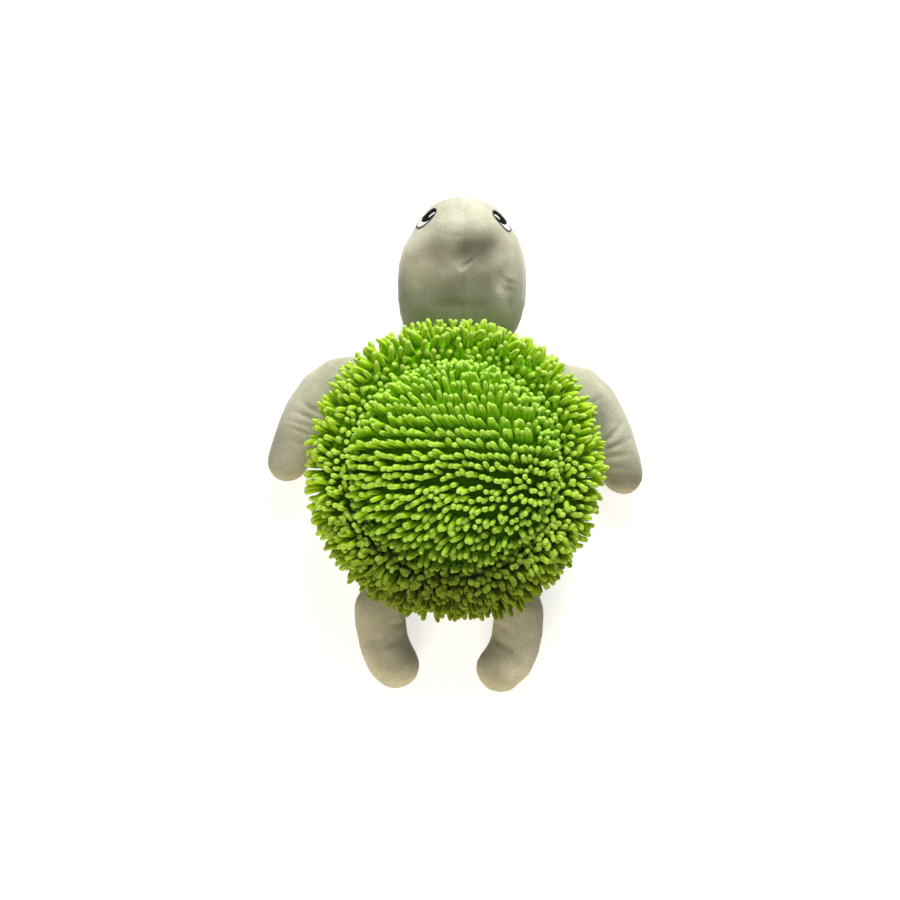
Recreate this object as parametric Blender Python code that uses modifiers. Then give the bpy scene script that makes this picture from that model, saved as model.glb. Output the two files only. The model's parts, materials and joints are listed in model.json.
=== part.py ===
"""Plush turtle with a shell of chenille noodles.

The turtle lies on its belly at z = 0, with its nose towards -Y and its left side towards +X.
The origin is the middle of the belly's flat underside. All lengths are in metres.
Every stuffed part is made as it is sewn: two fabric panels that meet at a seam, round a filling.
"""

import math

import bmesh
import bpy
from mathutils import Vector

# Fabric and fits
SKIN = 0.002
GAP = 0.0003
SEAT_GAP = 0.0007
MERGE_DISTANCE = 0.00001
OVERRUN = 0.02
SHARP_EDGE_DEG = 40.0

# Body under the shell
BODY_RADIUS = 0.116
BELLY_FLAT_RADIUS = 0.074
WALL_BOTTOM = 0.017
WALL_TOP = 0.0465
BODY_STEPS = 38
BELLY_CORNER_STEPS = 4

# Rim roll of the shell, a part of a tube bent round the body
ROLL_RADIUS = 0.0155
ROLL_OVERHANG = 0.009
ROLL_START_DEG = -62.0
ROLL_END_DEG = 142.0
ROLL_COLUMNS = 76
ROLL_BAND_SHARES = (0.0, 0.19, 0.38, 0.60, 0.80, 1.0)
ROLL_PLAIN_BAND_COUNT = 1
ROLL_NOODLE_BAND_COUNT = 2
ROLL_INNER_SHARES = (1.0, 0.75, 0.5, 0.25, 0.0)

# Crown of the shell, a dome inside the rim roll
CROWN_HEIGHT = 0.0370
CROWN_CELLS = 13
CROWN_PROFILE_STEPS = 6
CROWN_FILLING_GAP = 0.0022

# Noodles
BACKING = 0.003
NOODLE_WIDTH = 0.0066
NOODLE_LENGTH = 0.0205
NOODLE_TIP_RISE = 0.002
NOODLE_TIP_SHARE = 0.86
STEM_ROOM_SHARE = 0.85
STEM_INSET_SHARE = 0.1
CROWN_EDGE_TILT_DEG = 48.0
RIM_TILT_DEG = 15.0
RIM_TILT_STEP_DEG = 17.0
RIM_TILT_OVER_HEAD_DEG = 50.0

# Height of every hinge line, and of the seams that the head and limbs are sewn on at
HINGE_HEIGHT = 0.031

# Head
HEAD_REACH = 0.1105
HEAD_NOSE_LENGTH = 0.0225
HEAD_HALF_WIDTH = 0.062
HEAD_HALF_HEIGHT = 0.043
HEAD_LIFT = 0.018
HEAD_ROLL = 0.0145
HEAD_ROOT_HALF_WIDTH = 0.042
HEAD_ROOT_HALF_HEIGHT = 0.0135
NOSE_POINT_SHARE = 1.7

# Flippers
FLIPPER_SEAM_DEG = -45.0
FLIPPER_SKEW_DEG = -17.5
FLIPPER_REACH = 0.033
FLIPPER_LENGTH = 0.093
FLIPPER_TIP_LENGTH = 0.022
FLIPPER_HALF_WIDTH = 0.026
FLIPPER_HALF_HEIGHT = 0.019
FLIPPER_DROP = 0.010
FLIPPER_ROOT_HALF_WIDTH = 0.022

# Hind legs
LEG_SEAM_DEG = 60.0
LEG_SKEW_DEG = 76.0
LEG_REACH = 0.065
LEG_INTURN = 0.031
LEG_TIP_LENGTH = 0.020
LEG_HALF_WIDTH = 0.0245
LEG_HALF_HEIGHT = 0.017
LEG_DROP = 0.012
LEG_ROOT_HALF_WIDTH = 0.020

# Rolled edge of a limb where it is sewn to the body
LIMB_ROLL = 0.008
LIMB_ROOT_HALF_HEIGHT = 0.0075

# Embroidered eyes
EYE_CENTRE_BACK = 0.062
EYE_YAW_DEG = 44.0
EYE_PITCH_DEG = 22.0
EYE_HALF_LENGTH = 0.0140
EYE_HALF_HEIGHT = 0.0095
EYE_THREAD = 0.0009
EYE_OUTLINE = 0.0014
PUPIL_HALF_LENGTH = 0.0105
PUPIL_HALF_HEIGHT = 0.0084
PUPIL_FORWARD = 0.0035
HIGHLIGHT_HALF_LENGTH = 0.0038
HIGHLIGHT_HALF_HEIGHT = 0.0022
HIGHLIGHT_FORWARD = 0.0055
HIGHLIGHT_UP = 0.0034
EYE_SIDES = 20

# Shape tables: every row is a station from the root outwards, in shares of the sizes above.
# Columns: distance out, distance along the hinge line, half width, half height, rise.
HEAD_STATION_SHARES = (
    (0.00, 0.0, 0.81, 0.39, 0.03),
    (0.09, 0.0, 0.90, 0.53, 0.12),
    (0.20, 0.0, 0.95, 0.66, 0.28),
    (0.33, 0.0, 0.99, 0.78, 0.47),
    (0.46, 0.0, 1.00, 0.88, 0.66),
    (0.62, 0.0, 0.97, 0.96, 0.85),
    (0.75, 0.0, 0.91, 1.00, 0.97),
    (0.88, 0.0, 0.81, 0.97, 1.00),
    (1.00, 0.0, 0.67, 0.82, 0.90),
)
FLIPPER_STATION_SHARES = (
    (-0.04, -0.02, 0.98, 0.55, 0.05),
    (0.46, 0.08, 0.91, 0.78, 0.40),
    (0.71, 0.22, 0.96, 0.92, 0.75),
    (0.83, 0.43, 1.00, 1.00, 1.00),
    (0.89, 0.63, 0.96, 1.00, 1.00),
    (0.95, 0.82, 0.90, 0.95, 1.00),
    (1.00, 1.00, 0.79, 0.84, 1.00),
)
LEG_STATION_SHARES = (
    (0.00, 0.00, 0.90, 0.55, 0.05),
    (0.25, -0.02, 1.00, 0.85, 0.50),
    (0.47, 0.14, 1.00, 1.00, 0.88),
    (0.69, 0.34, 0.99, 1.00, 1.00),
    (0.87, 0.63, 1.00, 1.00, 1.00),
    (1.00, 1.00, 0.96, 0.92, 1.00),
)
TIP_STEPS = 3
ROOT_CAP_SHARES = (0.45, 0.80, 1.0)
LIMB_SIDES = 12
HEAD_SIDES = 16

# Colours as red, green, blue and alpha
LIME = (0.29, 0.55, 0.035, 1.0)
PALE_PLUSH = (0.60, 0.62, 0.52, 1.0)
FIBREFILL_WHITE = (0.85, 0.85, 0.83, 1.0)
THREAD_WHITE = (0.82, 0.82, 0.80, 1.0)
THREAD_BLACK = (0.02, 0.02, 0.02, 1.0)
THREAD_GREY = (0.12, 0.12, 0.11, 1.0)


def clear_scene():
    for item in list(bpy.data.objects):
        bpy.data.objects.remove(item, do_unlink=True)


def new_collection(name):
    collection = bpy.data.collections.new(name)
    bpy.context.scene.collection.children.link(collection)
    return collection


def new_material(name, colour, roughness):
    material = bpy.data.materials.new(name)
    material.use_nodes = True
    shader = material.node_tree.nodes["Principled BSDF"]
    shader.inputs["Base Color"].default_value = colour
    shader.inputs["Roughness"].default_value = roughness
    shader.inputs["Metallic"].default_value = 0.0
    material.diffuse_color = colour
    return material


def add_object(name, mesh, collection, material=None):
    item = bpy.data.objects.new(name, mesh)
    collection.objects.link(item)
    if material is not None:
        mesh.materials.append(material)
        mesh.shade_smooth()
        mesh.set_sharp_from_angle(angle=math.radians(SHARP_EDGE_DEG))
    return item


def mesh_from_bmesh(name, working):
    bmesh.ops.recalc_face_normals(working, faces=working.faces)
    mesh = bpy.data.meshes.new(name)
    working.to_mesh(mesh)
    working.free()
    return mesh


def loft(name, rings, first_pole, last_pole):
    """Closed surface through rings of equal counts, with a pole at each end."""
    working = bmesh.new()
    rows = [[working.verts.new(point) for point in ring] for ring in rings]
    close_rows(working, rows, True)
    for row, pole in ((rows[0], first_pole), (rows[-1], last_pole)):
        close_pole(working, row, pole, True)
    return mesh_from_bmesh(name, working)


def close_rows(working, rows, whole):
    """Faces between neighbouring rows, round a whole turn or over an open arc."""
    count = len(rows[0])
    for near, far in zip(rows, rows[1:]):
        for index in range(count if whole else count - 1):
            following = (index + 1) % count
            working.faces.new((near[index], near[following], far[following], far[index]))


def close_pole(working, row, pole, whole):
    centre = working.verts.new(pole)
    count = len(row)
    for index in range(count if whole else count - 1):
        working.faces.new((row[index], row[(index + 1) % count], centre))
    return centre


def fabric_panel(name, outer, inner):
    """A sewn panel: an outer and an inner sheet, joined all along the seam edge."""
    working = bmesh.new()
    seam_edges = []
    for rings, root_pole, tip_pole in (outer, inner):
        rows = [[working.verts.new(point) for point in ring] for ring in rings]
        close_rows(working, rows, False)
        root = close_pole(working, rows[0], root_pole, False)
        tip = close_pole(working, rows[-1], tip_pole, False)
        seam_edges.append([root] + [row[0] for row in rows] + [tip] + [row[-1] for row in reversed(rows)])
    close_rows(working, seam_edges, True)
    return mesh_from_bmesh(name, working)


class Limb:
    """A stuffed part that hinges on the body: its hinge line, stations and sewn root."""

    def __init__(self, name, side, seam_deg, skew_deg, roll, root_size, sizes, tip, stations, sides):
        self.name = name
        self.sides = sides
        self.root_half_width, self.root_half_height = root_size
        self.reach, self.length, self.half_width, self.half_height, self.rise = sizes
        self.tip_length, self.tip_power = tip
        self.stations = stations
        outward = math.radians(skew_deg)
        self.out = Vector((side * math.cos(outward), math.sin(outward), 0.0))
        self.along = Vector((-side * math.sin(outward), math.cos(outward), 0.0))
        if seam_deg is None:
            self.along = Vector((1.0, 0.0, 0.0))
            seat_along = 0.0
        else:
            seam = math.radians(seam_deg)
            seat = BODY_RADIUS * Vector((side * math.cos(seam), math.sin(seam), 0.0))
            seat_along = seat.dot(self.along)
        nearest = max(abs(seat_along) - self.root_half_width, 0.0)
        distance = math.sqrt(BODY_RADIUS ** 2 - nearest ** 2) + SEAT_GAP + roll
        self.hinge = distance * self.out + seat_along * self.along
        self.hinge.z = HINGE_HEIGHT

    def wall_distance(self, offset):
        """Distance from the hinge line to the body's side wall, at an offset along the line."""
        place = Vector((self.hinge.x, self.hinge.y, 0.0)) + offset * self.along
        across = place.dot(self.out)
        return across - math.sqrt(across ** 2 - place.length_squared + BODY_RADIUS ** 2)

    def root_point(self, offset, height, inset):
        """Point of the sewn root: it lies against the wall and is round about the hinge line."""
        room = self.wall_distance(offset) - SEAT_GAP - inset
        inward = math.sqrt(max(room ** 2 - height ** 2, 0.0))
        return self.hinge + offset * self.along - inward * self.out + Vector((0.0, 0.0, height))

    def station_centres(self):
        centres = []
        for out_share, along_share, _, _, rise_share in self.stations:
            centre = self.hinge + out_share * self.reach * self.out
            centre += along_share * self.length * self.along
            centre.z += rise_share * self.rise
            centres.append(centre)
        return centres

    def rings(self, start_deg, sweep_deg, inset, seam_shift):
        """Rings from the root to the tip, over a part of the turn round the section."""
        whole = sweep_deg == 360
        steps = self.sides if whole else self.sides // 2
        angles = [math.radians(start_deg + sweep_deg * step / steps) for step in range(steps + (not whole))]
        found = []
        for share in ROOT_CAP_SHARES:
            ring = []
            for angle in angles:
                offset = share * (self.root_half_width - inset) * math.cos(angle)
                height = share * (self.root_half_height - inset) * math.sin(angle)
                ring.append(self.root_point(offset, height, inset) + seam_shift)
            found.append(ring)
        centres = self.station_centres()
        for index, (centre, row) in enumerate(zip(centres, self.stations)):
            heading = self.heading(centres, index)
            found.append(self.section(centre, heading, row[2], row[3], 1.0, angles, inset, seam_shift))
        heading = self.heading(centres, len(centres) - 1)
        last = self.stations[-1]
        for step in range(1, TIP_STEPS + 1):
            turn = 0.5 * math.pi * step / (TIP_STEPS + 1)
            centre = centres[-1] + math.sin(turn) * (self.tip_length - inset) * heading
            shrink = math.cos(turn) ** self.tip_power
            found.append(self.section(centre, heading, last[2], last[3], shrink, angles, inset, seam_shift))
        root_pole = self.root_point(0.0, 0.0, inset) + seam_shift
        tip_pole = centres[-1] + (self.tip_length - inset) * heading + seam_shift
        return found, root_pole, tip_pole

    def heading(self, centres, index):
        """Level direction of the limb at a station, square to the hinge line at the first one."""
        if index == 0:
            return self.out
        before = centres[max(index - 1, 0)]
        after = centres[min(index + 1, len(centres) - 1)]
        direction = after - before
        direction.z = 0.0
        return direction.normalized()

    def section(self, centre, heading, width_share, height_share, shrink, angles, inset, seam_shift):
        across = heading.cross(Vector((0.0, 0.0, 1.0)))
        if across.dot(self.along) < 0:
            across.negate()
        width = shrink * (width_share * self.half_width - inset)
        height = shrink * (height_share * self.half_height - inset)
        up = Vector((0.0, 0.0, 1.0))
        return [
            centre + width * math.cos(angle) * across + height * math.sin(angle) * up + seam_shift
            for angle in angles
        ]

    def form(self, name, inset=0.0):
        """The whole stuffed form, smaller all round by an inset."""
        rings, root_pole, tip_pole = self.rings(0, 360, inset, Vector((0.0, 0.0, 0.0)))
        return loft(name, rings, root_pole, tip_pole)

    def panel(self, name, start_deg, direction):
        """The fabric over half of the form, drawn back from the seam by half the gap."""
        seam_shift = 0.5 * GAP * Vector(direction)
        outer = self.rings(start_deg, 180, 0.0, seam_shift)
        inner = self.rings(start_deg, 180, SKIN, seam_shift)
        return fabric_panel(name, outer, inner)


def add_boolean(item, cutter, operation):
    modifier = item.modifiers.new(operation.lower(), "BOOLEAN")
    modifier.operation = operation
    modifier.solver = "EXACT"
    modifier.object = cutter


def add_cutter(name, mesh, cutters):
    cutter = add_object(name, mesh, cutters)
    cutter.hide_render = True
    cutter.display_type = "WIRE"
    return cutter


def hinge_empty(limb, parts):
    empty = bpy.data.objects.new(limb.name + "_hinge", None)
    empty.location = limb.hinge
    empty.empty_display_size = limb.half_width
    parts.objects.link(empty)
    return empty


def hang_on(item, empty):
    item.parent = empty
    item.matrix_parent_inverse.translation = -empty.location


def build_stuffed(limb, halves, parts, plush, filling):
    """Two fabric panels that meet at a seam, and the filling inside them."""
    empty = hinge_empty(limb, parts)
    for panel_name, start_deg, direction in halves:
        name = limb.name + "_" + panel_name
        hang_on(add_object(name, limb.panel(name, start_deg, direction), parts, plush), empty)
    name = limb.name + "_stuffing"
    hang_on(add_object(name, limb.form(name, SKIN + GAP), parts, filling), empty)
    return empty


def turned(name, profile, collection, material, wall=None):
    """A profile of (radius, height) points turned about the Z axis, from the top down."""
    mesh = bpy.data.meshes.new(name)
    points = [(radius, 0.0, height) for radius, height in profile]
    edges = [(index, index + 1) for index in range(len(points) - 1)]
    mesh.from_pydata(points, edges, [])
    item = add_object(name, mesh, collection)
    mesh.materials.append(material)
    screw = item.modifiers.new("turn", "SCREW")
    screw.steps = BODY_STEPS
    screw.render_steps = BODY_STEPS
    screw.use_merge_vertices = True
    screw.merge_threshold = MERGE_DISTANCE
    screw.use_smooth_shade = True
    if wall is not None:
        solidify = item.modifiers.new("wall", "SOLIDIFY")
        solidify.thickness = wall
        solidify.offset = -1.0
        solidify.use_even_offset = True
    return item


def belly_profile():
    """Half section of the belly, from the top of the side wall down to the middle of the flat."""
    corner_width = BODY_RADIUS - BELLY_FLAT_RADIUS
    points = [(BODY_RADIUS, WALL_TOP)]
    for step in range(BELLY_CORNER_STEPS + 1):
        turn = 0.5 * math.pi * step / BELLY_CORNER_STEPS
        radius = BELLY_FLAT_RADIUS + corner_width * math.cos(turn)
        points.append((radius, WALL_BOTTOM * (1.0 - math.sin(turn))))
    points.append((0.0, 0.0))
    return points


def drawn_in(profile, inset):
    """The same profile moved inwards, to the left of its way down and in, by an even inset."""
    points = [Vector(point) for point in profile]
    normals = []
    for near, far in zip(points, points[1:]):
        run = (far - near).normalized()
        normals.append(Vector((run.y, -run.x)))
    moved = []
    for index, point in enumerate(points):
        before = normals[max(index - 1, 0)]
        after = normals[min(index, len(normals) - 1)]
        mitre = (before + after).normalized()
        moved.append(tuple(point + inset / mitre.dot(after) * mitre))
    return moved


def roll_point(share, inset):
    """Point of the rim roll's section, by the share of its turn from the seam to the valley."""
    turn = math.radians(ROLL_START_DEG + share * (ROLL_END_DEG - ROLL_START_DEG))
    radius = BODY_RADIUS + ROLL_OVERHANG - ROLL_RADIUS + (ROLL_RADIUS - inset) * math.cos(turn)
    lowest = ROLL_RADIUS * math.sin(math.radians(ROLL_START_DEG))
    height = WALL_TOP + GAP - lowest + (ROLL_RADIUS - inset) * math.sin(turn)
    return radius, height


def crown_point(share_x, share_y, inset):
    """Point of the crown's dome, from a square of shares -1 to 1 drawn onto a disc."""
    disc_x = share_x * math.sqrt(1.0 - 0.5 * share_y ** 2)
    disc_y = share_y * math.sqrt(1.0 - 0.5 * share_x ** 2)
    reach = math.hypot(disc_x, disc_y)
    valley_radius, valley_height = roll_point(1.0, 0.0)
    edge_radius = valley_radius - GAP - inset
    slope = 0.5 * math.pi * reach
    radius = edge_radius * math.sin(slope)
    height = valley_height + GAP + (CROWN_HEIGHT - inset) * math.cos(slope)
    if reach == 0.0:
        return Vector((0.0, 0.0, height))
    return Vector((radius * disc_x / reach, radius * disc_y / reach, height))


def raise_noodles(working, faces, direction_at):
    """Inset each face to a noodle's base, draw it out along its direction and round its tip."""
    for face in faces:
        base = shrink_face(working, face)
        direction = direction_at(face.calc_center_median())
        drawn = bmesh.ops.extrude_discrete_faces(working, faces=[base])["faces"][0]
        centre = drawn.calc_center_median()
        for vert in drawn.verts:
            vert.co = centre + NOODLE_TIP_SHARE * (vert.co - centre) + NOODLE_LENGTH * direction
        tip = bmesh.ops.poke(working, faces=[drawn])["verts"][0]
        tip.co += NOODLE_TIP_RISE * direction


def shrink_face(working, face):
    """Inset a face and square its inner part to the noodle's width, or to what the face holds."""
    room = face.calc_area() / max(edge.calc_length() for edge in face.edges)
    half = 0.5 * min(NOODLE_WIDTH, STEM_ROOM_SHARE * room)
    bmesh.ops.inset_individual(working, faces=[face], thickness=STEM_INSET_SHARE * half)
    centre = face.calc_center_median()
    first = (face.verts[1].co - face.verts[0].co).normalized()
    second = face.normal.cross(first)
    for vert in face.verts:
        offset = vert.co - centre
        vert.co = centre + half * math.copysign(1.0, offset.dot(first)) * first
        vert.co += half * math.copysign(1.0, offset.dot(second)) * second
    return face


def radial(tilt_deg, centre):
    """Direction away from the middle of the shell, tilted up from level."""
    tilt = math.radians(tilt_deg)
    outward = Vector((centre.x, centre.y, 0.0)).normalized()
    return math.cos(tilt) * outward + math.sin(tilt) * Vector((0.0, 0.0, 1.0))


def crown_direction(centre):
    """Noodles of the crown stand up in the middle and lean out towards the valley."""
    reach = math.hypot(centre.x, centre.y) / roll_point(1.0, 0.0)[0]
    return radial(90.0 - (90.0 - CROWN_EDGE_TILT_DEG) * reach, centre)


def rim_direction(centre):
    """Noodles of the rim point out and up, and steeply up over the head's root."""
    over_head = centre.y < 0 and abs(centre.x) < HEAD_HALF_WIDTH
    tilt = RIM_TILT_OVER_HEAD_DEG if over_head else RIM_TILT_DEG
    row_border = roll_point(ROLL_BAND_SHARES[ROLL_PLAIN_BAND_COUNT + 1], 0.0)[1]
    if centre.z > row_border:
        tilt += RIM_TILT_STEP_DEG
    return radial(tilt, centre)


def build_crown(parts, lime):
    working = bmesh.new()
    cells = CROWN_CELLS
    layers = []
    for inset in (0.0, BACKING):
        layer = []
        for row in range(cells + 1):
            line = []
            for column in range(cells + 1):
                share_x = 2.0 * column / cells - 1.0
                share_y = 2.0 * row / cells - 1.0
                line.append(working.verts.new(crown_point(share_x, share_y, inset)))
            layer.append(line)
        layers.append(layer)
    outer, inner = layers
    tops = []
    for row in range(cells):
        for column in range(cells):
            corners = [(row, column), (row, column + 1), (row + 1, column + 1), (row + 1, column)]
            tops.append(working.faces.new([outer[r][c] for r, c in corners]))
            working.faces.new([inner[r][c] for r, c in reversed(corners)])
    way_round = [(0, step) for step in range(cells)]
    way_round += [(step, cells) for step in range(cells)]
    way_round += [(cells, cells - step) for step in range(cells)]
    way_round += [(cells - step, 0) for step in range(cells)]
    close_rows(working, [[layer[r][c] for r, c in way_round] for layer in layers], True)
    bmesh.ops.recalc_face_normals(working, faces=working.faces)
    raise_noodles(working, tops, crown_direction)
    return add_object("shell_crown", mesh_from_bmesh("shell_crown", working), parts, lime)


def build_rim(parts, lime):
    working = bmesh.new()

    def ring(share, inset):
        radius, height = roll_point(share, inset)
        turns = [2.0 * math.pi * column / ROLL_COLUMNS for column in range(ROLL_COLUMNS)]
        return [working.verts.new((radius * math.cos(t), radius * math.sin(t), height)) for t in turns]

    outer = [ring(share, 0.0) for share in ROLL_BAND_SHARES]
    inner = [ring(share, BACKING) for share in ROLL_INNER_SHARES]
    loop = outer + inner
    stems = []
    last_plain = ROLL_PLAIN_BAND_COUNT - 1
    for band, (near, far) in enumerate(zip(loop, loop[1:] + loop[:1])):
        for column in range(ROLL_COLUMNS):
            following = (column + 1) % ROLL_COLUMNS
            face = working.faces.new((near[column], near[following], far[following], far[column]))
            if last_plain < band <= last_plain + ROLL_NOODLE_BAND_COUNT:
                stems.append(face)
    bmesh.ops.recalc_face_normals(working, faces=working.faces)
    raise_noodles(working, stems, rim_direction)
    return add_object("shell_rim", mesh_from_bmesh("shell_rim", working), parts, lime)


def build_body(parts, plush, lime, filling):
    turned("belly_panel", belly_profile(), parts, plush, SKIN)
    build_crown(parts, lime)
    build_rim(parts, lime)
    inset = BACKING + GAP
    crown_points = []
    for step in range(CROWN_PROFILE_STEPS + 1):
        point = crown_point(step / CROWN_PROFILE_STEPS, 0.0, inset + CROWN_FILLING_GAP)
        crown_points.append((point.x, point.z))
    valley_radius, valley_height = roll_point(1.0, 0.0)
    stitched_points = [
        (valley_radius - GAP - inset - CROWN_FILLING_GAP, valley_height - BACKING),
        (valley_radius + BACKING, valley_height - BACKING),
    ]
    roll_points = [roll_point(share, inset) for share in ROLL_INNER_SHARES[1:]]
    belly_points = drawn_in(belly_profile(), SKIN + GAP)
    turned("body_stuffing", crown_points + stitched_points + roll_points + belly_points, parts, filling)


def eye_direction(side):
    yaw = math.radians(EYE_YAW_DEG)
    pitch = math.radians(EYE_PITCH_DEG)
    return Vector((side * math.cos(pitch) * math.sin(yaw), -math.cos(pitch) * math.cos(yaw), math.sin(pitch)))


def eye_prism(name, head, side, half_length, half_height, forward, up, cutters):
    """An elliptical prism that points out through the eye's place on the head."""
    direction = eye_direction(side)
    level = Vector((0.0, 0.0, 1.0)).cross(direction).normalized()
    if level.y > 0:
        level.negate()
    upward = direction.cross(level).normalized()
    if upward.z < 0:
        upward.negate()
    start = head.hinge + (head.reach + head.tip_length - EYE_CENTRE_BACK) * head.out
    start += head.rise * Vector((0.0, 0.0, 1.0)) + forward * level + up * upward
    rings = []
    for distance in (OVERRUN, head.half_width + OVERRUN):
        ring = []
        for step in range(EYE_SIDES):
            turn = 2.0 * math.pi * step / EYE_SIDES
            offset = half_length * math.cos(turn) * level + half_height * math.sin(turn) * upward
            ring.append(start + distance * direction + offset)
        rings.append(ring)
    poles = [start + distance * direction for distance in (OVERRUN, head.half_width + OVERRUN)]
    return add_cutter(name, loft(name, rings, *poles), cutters)


def add_eye_piece(name, head, empty, keeps, cuts, parts, material):
    """A thin layer over the head's surface, kept inside some prisms and cut by others."""
    item = add_object(name, head.form(name), parts, material)
    lift = item.modifiers.new("lift", "DISPLACE")
    lift.strength = GAP
    lift.mid_level = 0.0
    layer = item.modifiers.new("thread", "SOLIDIFY")
    layer.thickness = EYE_THREAD
    layer.offset = 1.0
    for cutter in keeps:
        add_boolean(item, cutter, "INTERSECT")
    for cutter in cuts:
        add_boolean(item, cutter, "DIFFERENCE")
    hang_on(item, empty)


def build_eye(head, empty, word, side, parts, cutters, threads):
    grey, white, black = threads

    def prism(kind, half_length, half_height, forward=0.0, up=0.0):
        name = word + "_eye_" + kind
        return eye_prism(name, head, side, half_length, half_height, forward, up, cutters)

    whole = prism("whole", EYE_HALF_LENGTH, EYE_HALF_HEIGHT)
    inside = EYE_OUTLINE + GAP
    ring_hole = prism("ring_hole", EYE_HALF_LENGTH - EYE_OUTLINE, EYE_HALF_HEIGHT - EYE_OUTLINE)
    white_area = prism("white_area", EYE_HALF_LENGTH - inside, EYE_HALF_HEIGHT - inside)
    pupil_area = prism("pupil_area", PUPIL_HALF_LENGTH, PUPIL_HALF_HEIGHT, PUPIL_FORWARD)
    pupil_hole = prism("pupil_hole", PUPIL_HALF_LENGTH + GAP, PUPIL_HALF_HEIGHT + GAP, PUPIL_FORWARD)
    spot = prism("spot_area", HIGHLIGHT_HALF_LENGTH, HIGHLIGHT_HALF_HEIGHT, HIGHLIGHT_FORWARD, HIGHLIGHT_UP)
    spot_hole = prism(
        "spot_hole", HIGHLIGHT_HALF_LENGTH + GAP, HIGHLIGHT_HALF_HEIGHT + GAP, HIGHLIGHT_FORWARD, HIGHLIGHT_UP
    )
    add_eye_piece(word + "_eye_outline", head, empty, [whole], [ring_hole], parts, grey)
    add_eye_piece(word + "_eye_white", head, empty, [white_area], [pupil_hole], parts, white)
    add_eye_piece(word + "_eye_pupil", head, empty, [white_area, pupil_area], [spot_hole], parts, black)
    add_eye_piece(word + "_eye_highlight", head, empty, [spot], [], parts, white)


def head_limb():
    sizes = (HEAD_REACH, 0.0, HEAD_HALF_WIDTH, HEAD_HALF_HEIGHT, HEAD_LIFT)
    root = (HEAD_ROOT_HALF_WIDTH, HEAD_ROOT_HALF_HEIGHT)
    tip = (HEAD_NOSE_LENGTH, NOSE_POINT_SHARE)
    return Limb("head", 1, None, -90, HEAD_ROLL, root, sizes, tip, HEAD_STATION_SHARES, HEAD_SIDES)


def flipper_limb(word, side):
    sizes = (FLIPPER_REACH, FLIPPER_LENGTH, FLIPPER_HALF_WIDTH, FLIPPER_HALF_HEIGHT, -FLIPPER_DROP)
    root = (FLIPPER_ROOT_HALF_WIDTH, LIMB_ROOT_HALF_HEIGHT)
    tip = (FLIPPER_TIP_LENGTH, 1.0)
    name = word + "_flipper"
    return Limb(
        name, side, FLIPPER_SEAM_DEG, FLIPPER_SKEW_DEG, LIMB_ROLL, root, sizes, tip,
        FLIPPER_STATION_SHARES, LIMB_SIDES,
    )


def leg_limb(word, side):
    sizes = (LEG_REACH, LEG_INTURN, LEG_HALF_WIDTH, LEG_HALF_HEIGHT, -LEG_DROP)
    root = (LEG_ROOT_HALF_WIDTH, LIMB_ROOT_HALF_HEIGHT)
    tip = (LEG_TIP_LENGTH, 1.0)
    name = word + "_hind_leg"
    return Limb(
        name, side, LEG_SEAM_DEG, LEG_SKEW_DEG, LIMB_ROLL, root, sizes, tip, LEG_STATION_SHARES, LIMB_SIDES
    )


def main():
    clear_scene()
    parts = new_collection("plush_turtle")
    cutters = new_collection("cutters")
    plush = new_material("pale_plush", PALE_PLUSH, 0.95)
    lime = new_material("lime_noodle", LIME, 0.9)
    filling = new_material("fibrefill", FIBREFILL_WHITE, 1.0)
    threads = (
        new_material("grey_thread", THREAD_GREY, 0.7),
        new_material("white_thread", THREAD_WHITE, 0.6),
        new_material("black_thread", THREAD_BLACK, 0.5),
    )
    build_body(parts, plush, lime, filling)
    head = head_limb()
    sides = (("left_panel", -90, (1, 0, 0)), ("right_panel", 90, (-1, 0, 0)))
    empty = build_stuffed(head, sides, parts, plush, filling)
    for word, side in (("left", 1), ("right", -1)):
        build_eye(head, empty, word, side, parts, cutters, threads)
        layers = (("top_panel", 0, (0, 0, 1)), ("bottom_panel", 180, (0, 0, -1)))
        build_stuffed(flipper_limb(word, side), layers, parts, plush, filling)
        build_stuffed(leg_limb(word, side), layers, parts, plush, filling)


main()
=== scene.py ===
"""Looks of the plush turtle: chenille noodle shell, stuffed plush head and limbs, embroidered eyes.

The turtle lies on its belly at z = 0, with its nose towards -Y and its left side towards +X.
All lengths are in metres.
"""

import json
import random
from math import cos, degrees, exp, hypot, pi, radians, sin, sqrt, tau

import bmesh
import bpy
import numpy as np
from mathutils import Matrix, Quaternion, Vector, noise
from mathutils.bvhtree import BVHTree


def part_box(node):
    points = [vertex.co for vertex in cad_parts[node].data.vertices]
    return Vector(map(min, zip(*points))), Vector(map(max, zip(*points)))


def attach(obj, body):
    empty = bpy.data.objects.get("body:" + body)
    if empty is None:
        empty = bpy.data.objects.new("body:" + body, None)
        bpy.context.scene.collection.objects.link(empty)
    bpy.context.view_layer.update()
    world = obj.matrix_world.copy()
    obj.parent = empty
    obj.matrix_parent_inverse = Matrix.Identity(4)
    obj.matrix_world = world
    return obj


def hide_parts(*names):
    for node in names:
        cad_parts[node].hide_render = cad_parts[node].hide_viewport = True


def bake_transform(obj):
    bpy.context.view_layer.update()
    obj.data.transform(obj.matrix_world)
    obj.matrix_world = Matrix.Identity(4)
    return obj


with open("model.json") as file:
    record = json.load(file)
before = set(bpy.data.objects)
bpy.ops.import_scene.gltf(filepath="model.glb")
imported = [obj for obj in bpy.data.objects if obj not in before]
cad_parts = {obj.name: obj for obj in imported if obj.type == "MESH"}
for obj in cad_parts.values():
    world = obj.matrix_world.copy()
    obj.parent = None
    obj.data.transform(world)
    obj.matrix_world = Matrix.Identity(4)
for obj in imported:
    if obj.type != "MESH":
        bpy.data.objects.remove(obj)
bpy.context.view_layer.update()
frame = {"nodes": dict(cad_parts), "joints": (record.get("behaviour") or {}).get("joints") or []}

UP = Vector((0.0, 0.0, 1.0))

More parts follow.
